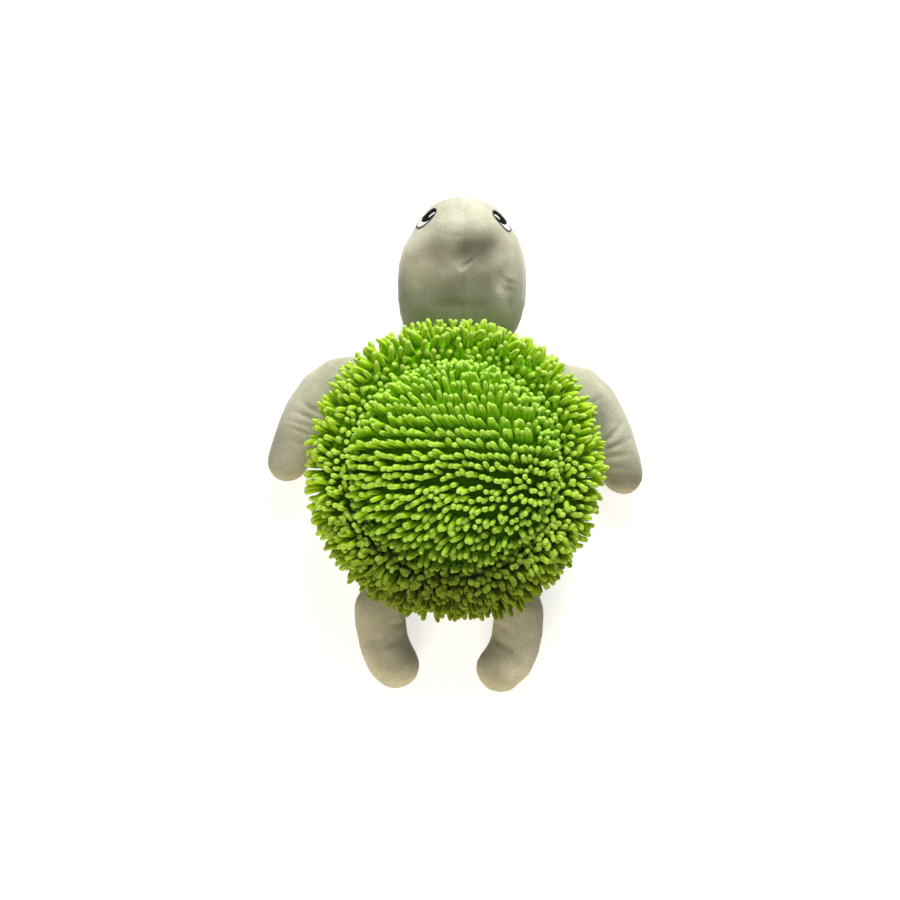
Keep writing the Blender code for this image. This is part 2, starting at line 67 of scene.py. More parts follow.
# Picture: where the middle of the belly falls in it, and the scale there
PICTURE_SIDE = 900
ORIGIN_PIXEL = (454.5, 479.0)
METRES_PER_PIXEL = 0.00095
CAMERA_AZIMUTH_DEG = 180.0
CAMERA_ELEVATION_DEG = 80.0
CAMERA_ROLL_DEG = 2.1
CAMERA_DISTANCE = 3.0
SENSOR_WIDTH = 36.0

# Shell: the rim roll's section and the crown's dome inside it
ROLL_CENTRE_RADIUS = 0.1095
ROLL_CENTRE_HEIGHT = 0.0605
ROLL_RADIUS = 0.0155
VALLEY_DEG = 142.0
ROLL_SEAM_DEG = -62.0
CROWN_HEIGHT = 0.0370
STEEPEST_CROWN_SHARE = 0.985

# The knitted ground, a little under the surface that the noodles are placed on
GROUND_BELOW_CROWN = 0.001
GROUND_BELOW_ROLL = 0.0008
GROUND_UNDERSIDE = 0.009
GROUND_UNEVENNESS = 0.0012
PROFILE_STEPS = 15
TURNED_STEPS = 96
UNEVEN_CELLS = 38.0

# Chenille noodles, and how much they differ from each other
NOODLE_LENGTH = 0.0185
NOODLE_RADIUS = 0.0025
NOODLE_SIDES = 8
NOODLE_STEPS = 7
LUMP_HEIGHT = 0.0012
LUMPS_A_METRE = 210.0
ROOT_DEPTH = 0.001
AIM_STRAY = 0.08
CURL_STRAY = 0.07
LENGTH_SHARES = (0.90, 1.08)
GIRTH_SHARES = (0.92, 1.10)
ROW_PITCH = 0.0100
LOOSE_ROW_PITCH = 0.0088
NOODLE_PITCH = 0.0059

# Plush skin; the stuffing's lumps are given as cells a metre and height
SKIN_VOXEL = 0.003
SKIN_SMOOTH_FACTOR = 0.6
SKIN_SMOOTH_ROUNDS = 10
MERGE_DISTANCE = 0.00001
FILL_PRESSURE = 4.0
FILL_FRAMES = 20
FILL_QUALITY = 5
FILL_CAP = 0.006
FLOOR_CLEARANCE = 0.0006
STUFFING_LUMPS = ((24.0, 0.0016), (60.0, 0.0006))
SEAM_DEPTH = 0.0006
SEAM_WIDTH = 0.0024
PUCKER_SHARE = 0.5
PUCKER_CELLS = 160.0

# The soft lips beside a crease or a seam, and how a crease fades out near its ends
LIP_SHARE = 1.1
CREASE_END_WIDTHS = 3.0
CREASE_END_SHARE = 0.35


def clamped(value):
    return min(1.0, max(0.0, value))


# Writing node trees


class Wiring:
    """A node tree being written: every call adds a node, sets its values and makes its links."""

    def __init__(self, tree):
        self.tree = tree

    def add(self, kind, inputs=None, **settings):
        made = self.tree.nodes.new(kind)
        for key, value in settings.items():
            setattr(made, key, value)
        self.feed_all(made, inputs or {})
        return made

    def out(self, kind, inputs=None, **settings):
        """The first output of a node that is added."""
        return self.add(kind, inputs, **settings).outputs[0]

    def feed(self, socket, value):
        if isinstance(value, bpy.types.NodeSocket):
            self.tree.links.new(value, socket)
        else:
            socket.default_value = value

    def feed_all(self, node, inputs):
        for key, value in inputs.items():
            self.feed(node.inputs[key], value)

    def math(self, operation, *values):
        return self.out("ShaderNodeMath", dict(enumerate(values)), operation=operation)

    def both_ways(self, noise_value, height):
        """A noise of 0 to 1 as a height up and down from its middle."""
        return self.math("MULTIPLY", self.math("SUBTRACT", noise_value, 0.5), height)

    def scaled(self, vector, scale):
        return self.out("ShaderNodeVectorMath", {0: vector, "Scale": scale}, operation="SCALE")


def socket_of(sockets, name):
    """The enabled socket of that name, where a node has several for its data types."""
    return next(item for item in sockets if item.name == name and item.enabled)


def new_geometry_tree(name, inputs):
    """A Geometry Nodes tree with a geometry input, named inputs and a geometry output."""
    tree = bpy.data.node_groups.new(name, "GeometryNodeTree")
    tree.interface.new_socket("Geometry", in_out="INPUT", socket_type="NodeSocketGeometry")
    for label, kind in inputs:
        tree.interface.new_socket(label, in_out="INPUT", socket_type="NodeSocket" + kind)
    tree.interface.new_socket("Geometry", in_out="OUTPUT", socket_type="NodeSocketGeometry")
    wiring = Wiring(tree)
    return tree, wiring, wiring.add("NodeGroupInput").outputs


def new_object(name, data):
    item = bpy.data.objects.new(name, data)
    bpy.context.scene.collection.objects.link(item)
    return item


def new_piece(name, mesh, material=None):
    item = new_object(name, mesh)
    mesh.name = name
    if material is not None:
        mesh.materials.clear()
        mesh.materials.append(material)
        mesh.shade_smooth()
    return item


def evaluated(item):
    return item.evaluated_get(bpy.context.evaluated_depsgraph_get())


def surface_of(item):
    return BVHTree.FromObject(item, bpy.context.evaluated_depsgraph_get())


def plain_mesh_from_tree(name, base, tree, values):
    """Runs the tree on a base mesh and returns the result as a plain mesh object."""
    holder = new_object(name + "_places", base)
    modifier = holder.modifiers.new("made", "NODES")
    modifier.node_group = tree
    for item in tree.interface.items_tree:
        if item.in_out == "INPUT" and item.name in values:
            modifier[item.identifier] = values[item.name]
    bpy.context.view_layer.update()
    mesh = bpy.data.meshes.new_from_object(evaluated(holder))
    holder.modifiers.clear()
    bpy.data.objects.remove(holder)
    return new_piece(name, mesh)


# Materials


def new_material(name):
    material = bpy.data.materials.new(name)
    material.use_nodes = True
    return material, Wiring(material.node_tree), material.node_tree.nodes["Principled BSDF"]


def object_place(wiring):
    return wiring.add("ShaderNodeTexCoord").outputs["Object"]


def object_noise(wiring, scale, detail, roughness):
    """Noise in object coordinates, with scale in cells a metre."""
    inputs = {"Vector": object_place(wiring), "Scale": scale, "Detail": detail, "Roughness": roughness}
    return wiring.out("ShaderNodeTexNoise", inputs)


def point_value(wiring, name):
    """A value that the piece carries on its own points."""
    return wiring.add("ShaderNodeAttribute", attribute_name=name).outputs["Fac"]


def colour_ramp(wiring, factor, stops):
    made = wiring.add("ShaderNodeValToRGB", {"Fac": factor})
    elements = made.color_ramp.elements
    while len(elements) < len(stops):
        elements.new(0.5)
    for element, (place, colour) in zip(elements, stops):
        element.position = place
        element.color = (*colour, 1.0)
    return made.outputs["Color"]


def multiplied(wiring, share, colour, other):
    """A colour multiplied by a share of another."""
    made = wiring.add("ShaderNodeMix", data_type="RGBA", blend_type="MULTIPLY")
    for name, value in (("Factor", share), ("A", colour), ("B", other)):
        wiring.feed(socket_of(made.inputs, name), value)
    return socket_of(made.outputs, "Result")


def bump(wiring, height, distance, strength, normal=None):
    inputs = {"Height": height, "Distance": distance, "Strength": strength}
    if normal is not None:
        inputs["Normal"] = normal
    return wiring.out("ShaderNodeBump", inputs)


# How much darker painted shade makes the plush where a skin is marked (a mark below 0 is painted light)
PAINTED_SHADE_SHARE = 0.42


def plush_material():
    """Short pale nap: patches of tone, fine pile and a soft sheen, with painted shade and painted light
    where a skin is marked.
    """
    material, wiring, shader = new_material("pale_short_plush")
    patches = object_noise(wiring, 26.0, 3.0, 0.6)
    pile = object_noise(wiring, 620.0, 3.0, 0.7)
    strands = object_noise(wiring, 1500.0, 2.0, 0.6)
    toned = colour_ramp(wiring, patches, ((0.34, (0.42, 0.41, 0.295)), (0.66, (0.58, 0.57, 0.44))))
    flecked = colour_ramp(wiring, pile, ((0.30, (0.74, 0.73, 0.70)), (0.62, (1.0, 1.0, 1.0))))
    colour = multiplied(wiring, 0.8, toned, flecked)
    # Painted shade darkens the plush where a skin is marked; a mark below 0 is painted light
    darker = wiring.math("MULTIPLY", point_value(wiring, "painted_shade_and_light"), PAINTED_SHADE_SHARE)
    wiring.feed_all(shader, {
        "Base Color": wiring.scaled(colour, wiring.math("SUBTRACT", 1.0, darker)),
        "Normal": bump(wiring, strands, 0.0004, 0.5, bump(wiring, pile, 0.0009, 0.55)),
        "Roughness": 0.95,
        "Specular IOR Level": 0.15,
        "Sheen Weight": 0.7,
        "Sheen Roughness": 0.35,
        "Sheen Tint": (1.0, 0.98, 0.88, 1.0),
    })
    return material


# Colours up a noodle, from root to tip: those of the crown, and the yellower ones of the rim. The lime
# deepens at the root as painted shade between the noodles, and pales at the tip as a painted highlight
CROWN_LIME = (
    (0.0, (0.250, 0.590, 0.002)),
    (0.30, (0.450, 0.900, 0.003)),
    (0.74, (0.570, 0.970, 0.012)),
    (1.0, (0.660, 1.000, 0.170)),
)
RIM_LIME = (
    (0.0, (0.210, 0.450, 0.002)),
    (0.30, (0.450, 0.810, 0.004)),
    (0.74, (0.600, 0.920, 0.014)),
    (1.0, (0.700, 0.970, 0.180)),
)

# What multiplies them by a noodle's tone and painted shade: olive and dull at 0, where painted shade
# darkens the tail, and full at 1
TONE_AND_SHADE_COLOURS = (
    (0.0, (0.20, 0.18, 0.03)),
    (0.13, (0.34, 0.34, 0.11)),
    (0.40, (0.84, 0.86, 0.76)),
    (1.0, (1.0, 1.0, 1.0)),
)

# How far the pile's clumps shift those colours up or down a noodle
CLUMP_SHIFT = 0.35


def chenille_material(name, stops):
    """Lime chenille: painted shade deepens it at the root and a painted highlight brightens its tip,
    with a fine looped pile.
    """
    material, wiring, shader = new_material(name)
    pile = object_noise(wiring, 900.0, 3.0, 0.75)
    clumps = object_noise(wiring, 330.0, 2.0, 0.6)
    height = wiring.math("ADD", point_value(wiring, "along"), wiring.both_ways(clumps, CLUMP_SHIFT))
    lime = colour_ramp(wiring, height, stops)
    tone_and_shade_mix = colour_ramp(wiring, point_value(wiring, "tone_and_shade"), TONE_AND_SHADE_COLOURS)
    shaded = colour_ramp(wiring, pile, ((0.36, (0.50, 0.54, 0.34)), (0.60, (1.0, 1.0, 1.0))))
    wiring.feed_all(shader, {
        "Base Color": multiplied(wiring, 0.9, multiplied(wiring, 1.0, lime, tone_and_shade_mix), shaded),
        "Normal": bump(wiring, pile, 0.0008, 0.8, bump(wiring, clumps, 0.0014, 0.5)),
        "Roughness": 0.9,
        "Specular IOR Level": 0.12,
        "Sheen Weight": 0.9,
        "Sheen Roughness": 0.32,
        "Sheen Tint": (0.85, 1.0, 0.35, 1.0),
    })
    return material


# The ground's green: how much the knit changes it, and how much painted shade darkens it a metre towards
# the tail
KNIT_SHARE = 0.4
GROUND_TAIL_SHADE = 12.0


def backing_material():
    """The knitted ground that the noodles stand in."""
    material, wiring, shader = new_material("deep_green_ground")
    knit = object_noise(wiring, 700.0, 2.0, 0.6)
    # Painted shade: the ground is darker towards the tail
    towards_tail = wiring.add("ShaderNodeSeparateXYZ", {"Vector": object_place(wiring)}).outputs["Y"]
    painted_tail_shade = wiring.math("MULTIPLY", towards_tail, GROUND_TAIL_SHADE)
    knit_less_shade = wiring.math("SUBTRACT", wiring.math("MULTIPLY", knit, KNIT_SHARE), painted_tail_shade)
    green = colour_ramp(wiring, knit_less_shade, ((0.0, (0.075, 0.190, 0.001)), (0.9, (0.210, 0.540, 0.002))))
    wiring.feed_all(shader, {
        "Base Color": green,
        "Normal": bump(wiring, knit, 0.001, 0.7),
        "Roughness": 0.95,
        "Specular IOR Level": 0.1,
    })
    return material


def thread_material(name, dark, light, roughness, gloss):
    """Embroidery thread with a fine fleck."""
    material, wiring, shader = new_material(name)
    fleck = object_noise(wiring, 1800.0, 2.0, 0.5)
    wiring.feed_all(shader, {
        "Base Color": colour_ramp(wiring, fleck, ((0.3, dark), (0.7, light))),
        "Normal": bump(wiring, fleck, 0.0002, 0.5),
        "Roughness": roughness,
        "Specular IOR Level": gloss,
    })
    return material


# Shell


def crown_radius():
    return ROLL_CENTRE_RADIUS + ROLL_RADIUS * cos(radians(VALLEY_DEG))


def valley_height():
    return ROLL_CENTRE_HEIGHT + ROLL_RADIUS * sin(radians(VALLEY_DEG))


def crown_height_at(radius):
    share = min(radius / crown_radius(), 1.0)
    return valley_height() + CROWN_HEIGHT * sqrt(1.0 - share ** 2)


def crown_normal_at(x, y):
    radius = hypot(x, y)
    share = min(radius / crown_radius(), STEEPEST_CROWN_SHARE)
    slope = CROWN_HEIGHT / crown_radius() * share / sqrt(1.0 - share ** 2)
    if radius == 0.0:
        return UP.copy()
    return Vector((slope * x / radius, slope * y / radius, 1.0)).normalized()


def crown_root(x, y):
    """A noodle's root, a little under the crown's surface."""
    return Vector((x, y, crown_height_at(hypot(x, y)))) - ROOT_DEPTH * crown_normal_at(x, y)


# Where the crown's noodles start, as a disc a little towards the tail and the left
CROWN_PATCH_CENTRE = Vector((0.002, 0.007))
CROWN_PATCH_RADIUS = 0.0885

# Fore-and-aft seam of the crown, where the noodles part
PARTING_X = -0.073
PARTING_GAP = 0.0004
UPRIGHT_WIDTH = 0.030
LEAST_LEAN_SHARE = 0.15
THICK_SIDE_PITCH_SHARE = 0.72

# Rows wave a little, a radian to every run. They are straight over the crown's half towards the head
# and loose over the half towards the tail
ROW_WAVE_HEIGHT = 0.0011
ROW_WAVE_RUN = 0.021
START_STRAY_SHARE = 0.08
PITCH_SHARES = (0.95, 1.05)
ROW_STRAY = 0.0003
LOOSE_ROW_STRAY = 0.0013
LOOSE_ROWS_START = -0.005
LOOSE_ROWS_EASE = 0.030
LOOSE_SHORTER_SHARE = 0.20

# Combed noodles droop along their lean. On the steep side they are raised by a share of the normal
COMBED_DROOP_SHARE = 0.12
COMBED_SAG = -0.6
LEAST_CLEARING_SHARE = 0.5
RAISED_SHARE = 0.4

# Noodles in the valley round the patch: length share and share of the roll's radius kept clear
VALLEY_LENGTH_SHARE = 0.62
VALLEY_CLEAR_SHARE = 0.06
VALLEY_LEAN = 0.35
VALLEY_STRAY_SHARE = 1.6
RING_RADII = (0.0900, 0.0950)
RING_PITCH = 0.0072
RING_LENGTH_SHARE = 0.42
RING_STRAY_SHARE = 0.2

# Strokes of the comb over the crown, in shares of the crown's radius from its middle:
# place towards the left side and the tail, then lean towards the left side and the tail
COMB_STROKE_SHARES = (
    (0.00, -0.85, 0.05, -1.00),
    (0.60, -0.65, 0.65, -0.75),
    (-0.50, -0.75, -0.10, -1.00),
    (0.00, -0.50, 0.20, -0.70),
    (0.40, -0.50, 0.50, -0.60),
    (-0.45, -0.40, 0.05, -0.65),
    (0.75, -0.25, 1.05, -0.20),
    (0.30, -0.20, 0.62, -0.15),
    (-0.20, -0.15, 0.45, -0.10),
    (-0.50, -0.10, 0.30, -0.15),
    (0.85, 0.25, 1.25, 0.35),
    (0.40, 0.15, 0.65, 0.30),
    (0.00, 0.20, 0.48, 0.30),
    (-0.40, 0.25, 0.20, 0.25),
    (0.60, 0.60, 0.90, 0.75),
    (0.10, 0.60, 0.40, 0.80),
    (-0.45, 0.55, 0.05, 0.35),
    (0.20, 0.95, 0.25, 1.10),
    (-0.45, 0.85, -0.10, 0.95),
    (-0.74, -0.45, -0.25, -0.60),
    (-0.92, -0.30, -0.50, -0.45),
    (-0.76, 0.00, -0.25, -0.05),
    (-0.96, 0.05, -0.50, 0.05),
    (-0.76, 0.35, -0.20, 0.30),
    (-0.90, 0.45, -0.40, 0.45),
)

# Keeps the nearest stroke from ruling alone, in square metres
COMB_EASE = 0.0001


def combed_lean(x, y):
    """Lean of a noodle from upright, read between the comb's strokes on its side of the parting."""
    total = Vector((0.0, 0.0))
    weights = 0.0
    for place_x, place_y, lean_x, lean_y in COMB_STROKE_SHARES:
        stroke = Vector((place_x, place_y)) * crown_radius()
        if (stroke.x < PARTING_X) != (x < PARTING_X):
            continue
        weight = 1.0 / ((stroke - Vector((x, y))).length_squared + COMB_EASE)
        total += weight * Vector((lean_x, lean_y))
        weights += weight
    lean = total / weights
    lean.x *= min(1.0, LEAST_LEAN_SHARE + abs(x - PARTING_X) / UPRIGHT_WIDTH)
    return lean


# Painted shade: the pile darkens to olive towards the tail, and painted light keeps it brightest towards
# the head
TAIL_SHADE_START = 0.026
TAIL_SHADE_LENGTH = 0.082
TAIL_SHADE_LOSS = 0.85
HEAD_LIGHT_LENGTH = 0.060
LEAST_TONE = 0.30
HEAD_LIGHT_TONE_GAIN = 0.25


class NoodlePlaces:
    """Roots of noodles, each with its aim, droop, length, girth, and tone with painted shade."""

    def __init__(self, seed):
        self.chance = random.Random(seed)
        self.roots = []
        self.noodles = []

    def plant(self, root, aim, droop, length_share=1.0, stray_share=1.0):
        chance = self.chance
        stray = Vector((chance.gauss(0, 1), chance.gauss(0, 1), chance.gauss(0, 1)))
        curl = Vector((chance.gauss(0, 1), chance.gauss(0, 1), 0.5 * chance.gauss(0, 1)))
        # Painted shade lowers the tone towards the tail; painted light raises its least towards the head
        tail_shade_share = clamped((root.y - TAIL_SHADE_START) / TAIL_SHADE_LENGTH)
        least = LEAST_TONE + HEAD_LIGHT_TONE_GAIN * clamped(-root.y / HEAD_LIGHT_LENGTH)
        self.roots.append(root)
        self.noodles.append((
            (aim.normalized() + AIM_STRAY * stray_share * stray).normalized(),
            NOODLE_LENGTH * (droop + CURL_STRAY * curl),
            NOODLE_LENGTH * length_share * chance.uniform(*LENGTH_SHARES),
            NOODLE_RADIUS * chance.uniform(*GIRTH_SHARES),
            (1.0 - TAIL_SHADE_LOSS * tail_shade_share) * (least + (1.0 - least) * chance.random()),
        ))

    def mesh(self, name):
        mesh = bpy.data.meshes.new(name)
        mesh.from_pydata(self.roots, [], [])
        for key, values in zip(("aim", "droop", "reach", "girth", "tone_and_shade"), zip(*self.noodles)):
            kinds = ("FLOAT_VECTOR", "vector") if isinstance(values[0], Vector) else ("FLOAT", "value")
            layer = mesh.attributes.new(key, kinds[0], "POINT")
            layer.data.foreach_set(kinds[1], np.array(values, np.float32).ravel())
        return mesh


# Seeds: how the noodles differ, and how their rows wander
CROWN_NOODLE_SEED = 11
CROWN_ROW_SEED = 5
RIM_NOODLE_SEED = 23
RIM_ROW_SEED = 7


def in_combed_patch(place):
    return (place - CROWN_PATCH_CENTRE).length < CROWN_PATCH_RADIUS


def crown_places():
    """Rows of noodles across the body, walked at an even pitch over the dome."""
    places = NoodlePlaces(CROWN_NOODLE_SEED)
    chance = random.Random(CROWN_ROW_SEED)
    y = -crown_radius()
    row = 0
    while y < crown_radius():
        y += crown_normal_at(0.0, y).z * (ROW_PITCH if y < LOOSE_ROWS_START else LOOSE_ROW_PITCH)
        wave = chance.uniform(0.0, tau)
        start = 0.5 * (row % 2) + chance.uniform(-START_STRAY_SHARE, START_STRAY_SHARE)
        x = -crown_radius() + NOODLE_PITCH * start
        loose = clamped((y - LOOSE_ROWS_START) / LOOSE_ROWS_EASE)
        while x < crown_radius():
            thick = THICK_SIDE_PITCH_SHARE if x < PARTING_X + 0.5 * UPRIGHT_WIDTH else 1.0
            x += NOODLE_PITCH * thick * crown_normal_at(x, 0.0).z * chance.uniform(*PITCH_SHARES)
            stray = chance.gauss(0, ROW_STRAY + loose * LOOSE_ROW_STRAY)
            waved_y = y + ROW_WAVE_HEIGHT * sin(x / ROW_WAVE_RUN + wave) + stray
            place = Vector((x, waved_y))
            combed = in_combed_patch(place)
            reached = place.length < crown_radius() - VALLEY_CLEAR_SHARE * ROLL_RADIUS
            if not (combed or reached) or abs(x - PARTING_X) < PARTING_GAP:
                continue
            normal = crown_normal_at(x, waved_y)
            root = crown_root(x, waved_y)
            if combed:
                lean = combed_lean(x, waved_y)
                aim = Vector((lean.x, lean.y, 1.0)).normalized()
                if aim.dot(normal) < LEAST_CLEARING_SHARE:
                    aim = (aim + RAISED_SHARE * normal).normalized()
                droop = COMBED_DROOP_SHARE * Vector((lean.x, lean.y, COMBED_SAG))
                places.plant(root, aim, droop, 1.0 - LOOSE_SHORTER_SHARE * loose)
            else:
                aim = UP + VALLEY_LEAN * normal
                places.plant(root, aim, Vector(), VALLEY_LENGTH_SHARE, VALLEY_STRAY_SHARE)
        row += 1
    line_valley(places, chance)
    return places


def line_valley(places, chance):
    """Rings of short noodles down the crown's steep side, where the combed rows stop."""
    for radius in RING_RADII:
        count = round(tau * radius / RING_PITCH)
        for column in range(count):
            step = column + chance.uniform(-RING_STRAY_SHARE, RING_STRAY_SHARE)
            turn = tau * step / count
            place = Vector((radius * cos(turn), radius * sin(turn)))
            if in_combed_patch(place):
                continue
            aim = UP + crown_normal_at(*place)
            places.plant(crown_root(*place), aim, Vector(), RING_LENGTH_SHARE, VALLEY_STRAY_SHARE)


# Rows of the rim: turn round the roll's section, turn of the aim, length share
RIM_ROW_TURNS = (
    (-34.0, -26.0, 0.84),
    (-12.0, 2.0, 0.96),
    (10.0, 20.0, 1.02),
    (32.0, 34.0, 1.04),
    (54.0, 48.0, 1.02),
    (76.0, 60.0, 1.00),
    (98.0, 72.0, 0.96),
    (118.0, 86.0, 0.86),
    (138.0, 104.0, 0.70),
)
RIM_PITCH = 0.0077
UNDER_RIM_PITCH = 0.0066

# How unevenly the rim's noodles stand, and how they droop
RIM_STRAY_SHARE = 0.18
RIM_TURN_STRAY_DEG = 5.0
RIM_AIM_STRAY_DEG = 7.0
RIM_SIDE_STRAY = 0.16
RIM_SAG = -0.10
RIM_DROOP_OUT = 0.05
RIM_DROOP_ASIDE = 0.5

# Bearings round the shell, from the left side towards the tail
TAIL_BEARING_DEG = 90.0
HEAD_BEARING_DEG = 270.0

# The pile beside the valley is shorter towards the head, where the valley shows as a groove
BESIDE_VALLEY_DEG = 90.0
GROOVE_SHARE = 0.50

# Over the head's root the lower rings are lifted, less and less up to the ring of this number
OVER_HEAD_HALF_DEG = 33.0
OVER_HEAD_LIFT_DEG = 34.0
OVER_HEAD_TURN_SHARE = 0.3
LIFTED_RINGS = 4.0

# Over the tail the pile is thicker: a shorter noodle stands between every two
THICK_TAIL_HALF_DEG = 62.0
THICK_TAIL_SHARE = 0.80
THICK_TAIL_LIFT = 0.3

# How far the rim spreads: bearing in degrees, then a share
RIM_SPREAD_SHARES = (
    (-90.0, 1.00), (-45.0, 0.95), (0.0, 0.68), (35.0, 0.90), (58.0, 1.30), (76.0, 1.20),
    (90.0, 0.98), (104.0, 1.20), (124.0, 1.25), (148.0, 0.62), (165.0, 0.60), (185.0, 0.80),
    (225.0, 0.95), (270.0, 1.00),
)

# A rim noodle's length: the share that is fixed, and the share that follows the spread
LENGTH_BY_SPREAD = (0.55, 0.45)


def rim_spread(bearing_deg):
    """Share of the rim's spread at a bearing, eased between the marks."""
    bearing = (bearing_deg + 90.0) % 360.0 - 90.0
    for (before, low), (after, high) in zip(RIM_SPREAD_SHARES, RIM_SPREAD_SHARES[1:]):
        if before <= bearing <= after:
            share = (bearing - before) / (after - before)
            return low + (high - low) * share * share * (3.0 - 2.0 * share)
    return 1.0


def degrees_off(bearing_deg, middle_deg):
    """How far round the shell a bearing is from another."""
    return abs((bearing_deg - middle_deg + 180.0) % 360.0 - 180.0)


def rim_places():
    """Rings of noodles round the roll. Over the head's root they are lifted to lie on it."""
    places = NoodlePlaces(RIM_NOODLE_SEED)
    chance = random.Random(RIM_ROW_SEED)
    for ring, (turn_deg, aim_deg, length_share) in enumerate(RIM_ROW_TURNS):
        ring_radius = ROLL_CENTRE_RADIUS + ROLL_RADIUS * cos(radians(turn_deg))
        pitch = UNDER_RIM_PITCH if turn_deg < 0.0 else RIM_PITCH
        count = round(tau * ring_radius / pitch)
        for column in range(count):
            step = column + 0.5 * (ring % 2) + chance.uniform(-RIM_STRAY_SHARE, RIM_STRAY_SHARE)
            bearing = tau * step / count
            bearing_deg = degrees(bearing)
            outward = Vector((cos(bearing), sin(bearing), 0.0))
            along = outward.cross(UP)
            off_head = degrees_off(bearing_deg, HEAD_BEARING_DEG)
            over_head = max(0.0, 1.0 - (off_head / OVER_HEAD_HALF_DEG) ** 4)
            lift = OVER_HEAD_LIFT_DEG * over_head * max(0.0, 1.0 - ring / LIFTED_RINGS)
            stray = chance.uniform(-RIM_TURN_STRAY_DEG, RIM_TURN_STRAY_DEG)
            turn = radians(turn_deg + stray + OVER_HEAD_TURN_SHARE * lift)
            aim_turn = radians(aim_deg + lift + chance.gauss(0, RIM_AIM_STRAY_DEG))
            normal = cos(turn) * outward + sin(turn) * UP
            root = ROLL_CENTRE_RADIUS * outward + ROLL_CENTRE_HEIGHT * UP
            root += (ROLL_RADIUS - ROOT_DEPTH) * normal
            spread = rim_spread(bearing_deg)
            aim = spread * cos(aim_turn) * outward + sin(aim_turn) * UP
            sideways = along * chance.gauss(0, RIM_SIDE_STRAY)
            droop = RIM_SAG * UP + RIM_DROOP_OUT * outward + RIM_DROOP_ASIDE * sideways
            length = length_share * (LENGTH_BY_SPREAD[0] + LENGTH_BY_SPREAD[1] * spread)
            if turn_deg > BESIDE_VALLEY_DEG:
                length *= 1.0 - GROOVE_SHARE * max(0.0, -sin(bearing))
            places.plant(root, aim + sideways, droop, length, 1.0 + over_head)
            if degrees_off(bearing_deg, TAIL_BEARING_DEG) < THICK_TAIL_HALF_DEG:
                beside = root + 0.5 * RIM_PITCH * along
                raised = aim + THICK_TAIL_LIFT * UP - sideways
                places.plant(beside, raised, droop, THICK_TAIL_SHARE * length)
    return places


# A noodle's outline: height along it and share of its radius there. It bends most near its tip
NOODLE_OUTLINE = (
    (0.0, 0.78), (0.30, 0.90), (0.70, 1.0), (0.86, 0.97), (0.95, 0.76), (1.0, 0.36),
)
BEND_POWER = 2.0


def noodle_tree():
    """A noodle drawn along its own line, set on every root, then bent and made lumpy."""
    inputs = (
        ("Sides", "Int"), ("Steps", "Int"), ("Lump Height", "Float"), ("Lumps a Metre", "Float"),
        ("Material", "Material"),
    )
    tree, wiring, given = new_geometry_tree("chenille_noodles", inputs)
    line = wiring.out("GeometryNodeCurvePrimitiveLine", {"End": (0.0, 0.0, 1.0)})
    count = wiring.math("ADD", given["Steps"], 1.0)
    drawn = wiring.out("GeometryNodeResampleCurve", {"Curve": line, "Count": count})
    factor = wiring.add("GeometryNodeSplineParameter").outputs["Factor"]
    eased = wiring.math("SINE", wiring.math("MULTIPLY", factor, 0.5 * pi))
    stored = wiring.add("GeometryNodeStoreNamedAttribute", {"Geometry": drawn, "Name": "along"})
    wiring.feed(socket_of(stored.inputs, "Value"), eased)
    along = named_value(wiring, "along", "FLOAT")
    outline = wiring.add("ShaderNodeFloatCurve", {"Value": along})
    set_outline(outline, NOODLE_OUTLINE)
    upright = wiring.out("ShaderNodeCombineXYZ", {"Z": along})
    placed = wiring.out("GeometryNodeSetPosition", {"Geometry": stored.outputs[0], "Position": upright})
    profile = wiring.out("GeometryNodeCurvePrimitiveCircle", {"Resolution": given["Sides"]})
    noodle = wiring.out("GeometryNodeCurveToMesh", {
        "Curve": placed, "Profile Curve": profile, "Scale": outline.outputs[0], "Fill Caps": True,
    })
    roots = wiring.out("GeometryNodeMeshToPoints", {"Mesh": given["Geometry"]})
    aim = named_value(wiring, "aim", "FLOAT_VECTOR")
    turned = wiring.out("FunctionNodeAlignRotationToVector", {"Vector": aim}, axis="Z")
    girth = named_value(wiring, "girth", "FLOAT")
    reach = named_value(wiring, "reach", "FLOAT")
    size = wiring.out("ShaderNodeCombineXYZ", {"X": girth, "Y": girth, "Z": reach})
    planted = wiring.out("GeometryNodeInstanceOnPoints", {
        "Points": roots, "Instance": noodle, "Rotation": turned, "Scale": size,
    })
    real = wiring.out("GeometryNodeRealizeInstances", {"Geometry": planted})
    droop = named_value(wiring, "droop", "FLOAT_VECTOR")
    bend = wiring.scaled(droop, wiring.math("POWER", along, BEND_POWER))
    bent = wiring.out("GeometryNodeSetPosition", {"Geometry": real, "Offset": bend})
    lumps = wiring.out("ShaderNodeTexNoise", {"Scale": given["Lumps a Metre"], "Detail": 1.0})
    height = wiring.both_ways(lumps, given["Lump Height"])
    raised = wiring.scaled(wiring.out("GeometryNodeInputNormal"), height)
    lumpy = wiring.out("GeometryNodeSetPosition", {"Geometry": bent, "Offset": raised})
    end_tree(wiring, lumpy, given["Material"])
    return tree


def end_tree(wiring, geometry, material):
    """Ends a tree in real, smooth geometry of one material."""
    real = wiring.out("GeometryNodeRealizeInstances", {"Geometry": geometry})
    smooth = wiring.out("GeometryNodeSetShadeSmooth", {"Geometry": real})
    painted = wiring.out("GeometryNodeSetMaterial", {"Geometry": smooth, "Material": material})
    wiring.add("NodeGroupOutput", {"Geometry": painted})


def named_value(wiring, name, kind):
    made = wiring.add("GeometryNodeInputNamedAttribute", {"Name": name}, data_type=kind)
    return socket_of(made.outputs, "Attribute")


def set_outline(curve_node, points):
    """Sets a float curve to points of height along the noodle and share of its radius."""
    curve = curve_node.mapping.curves[0]
    while len(curve.points) < len(points):
        curve.points.new(0.5, 0.5)
    for point, place in zip(curve.points, points):
        point.location = place
    curve_node.mapping.update()


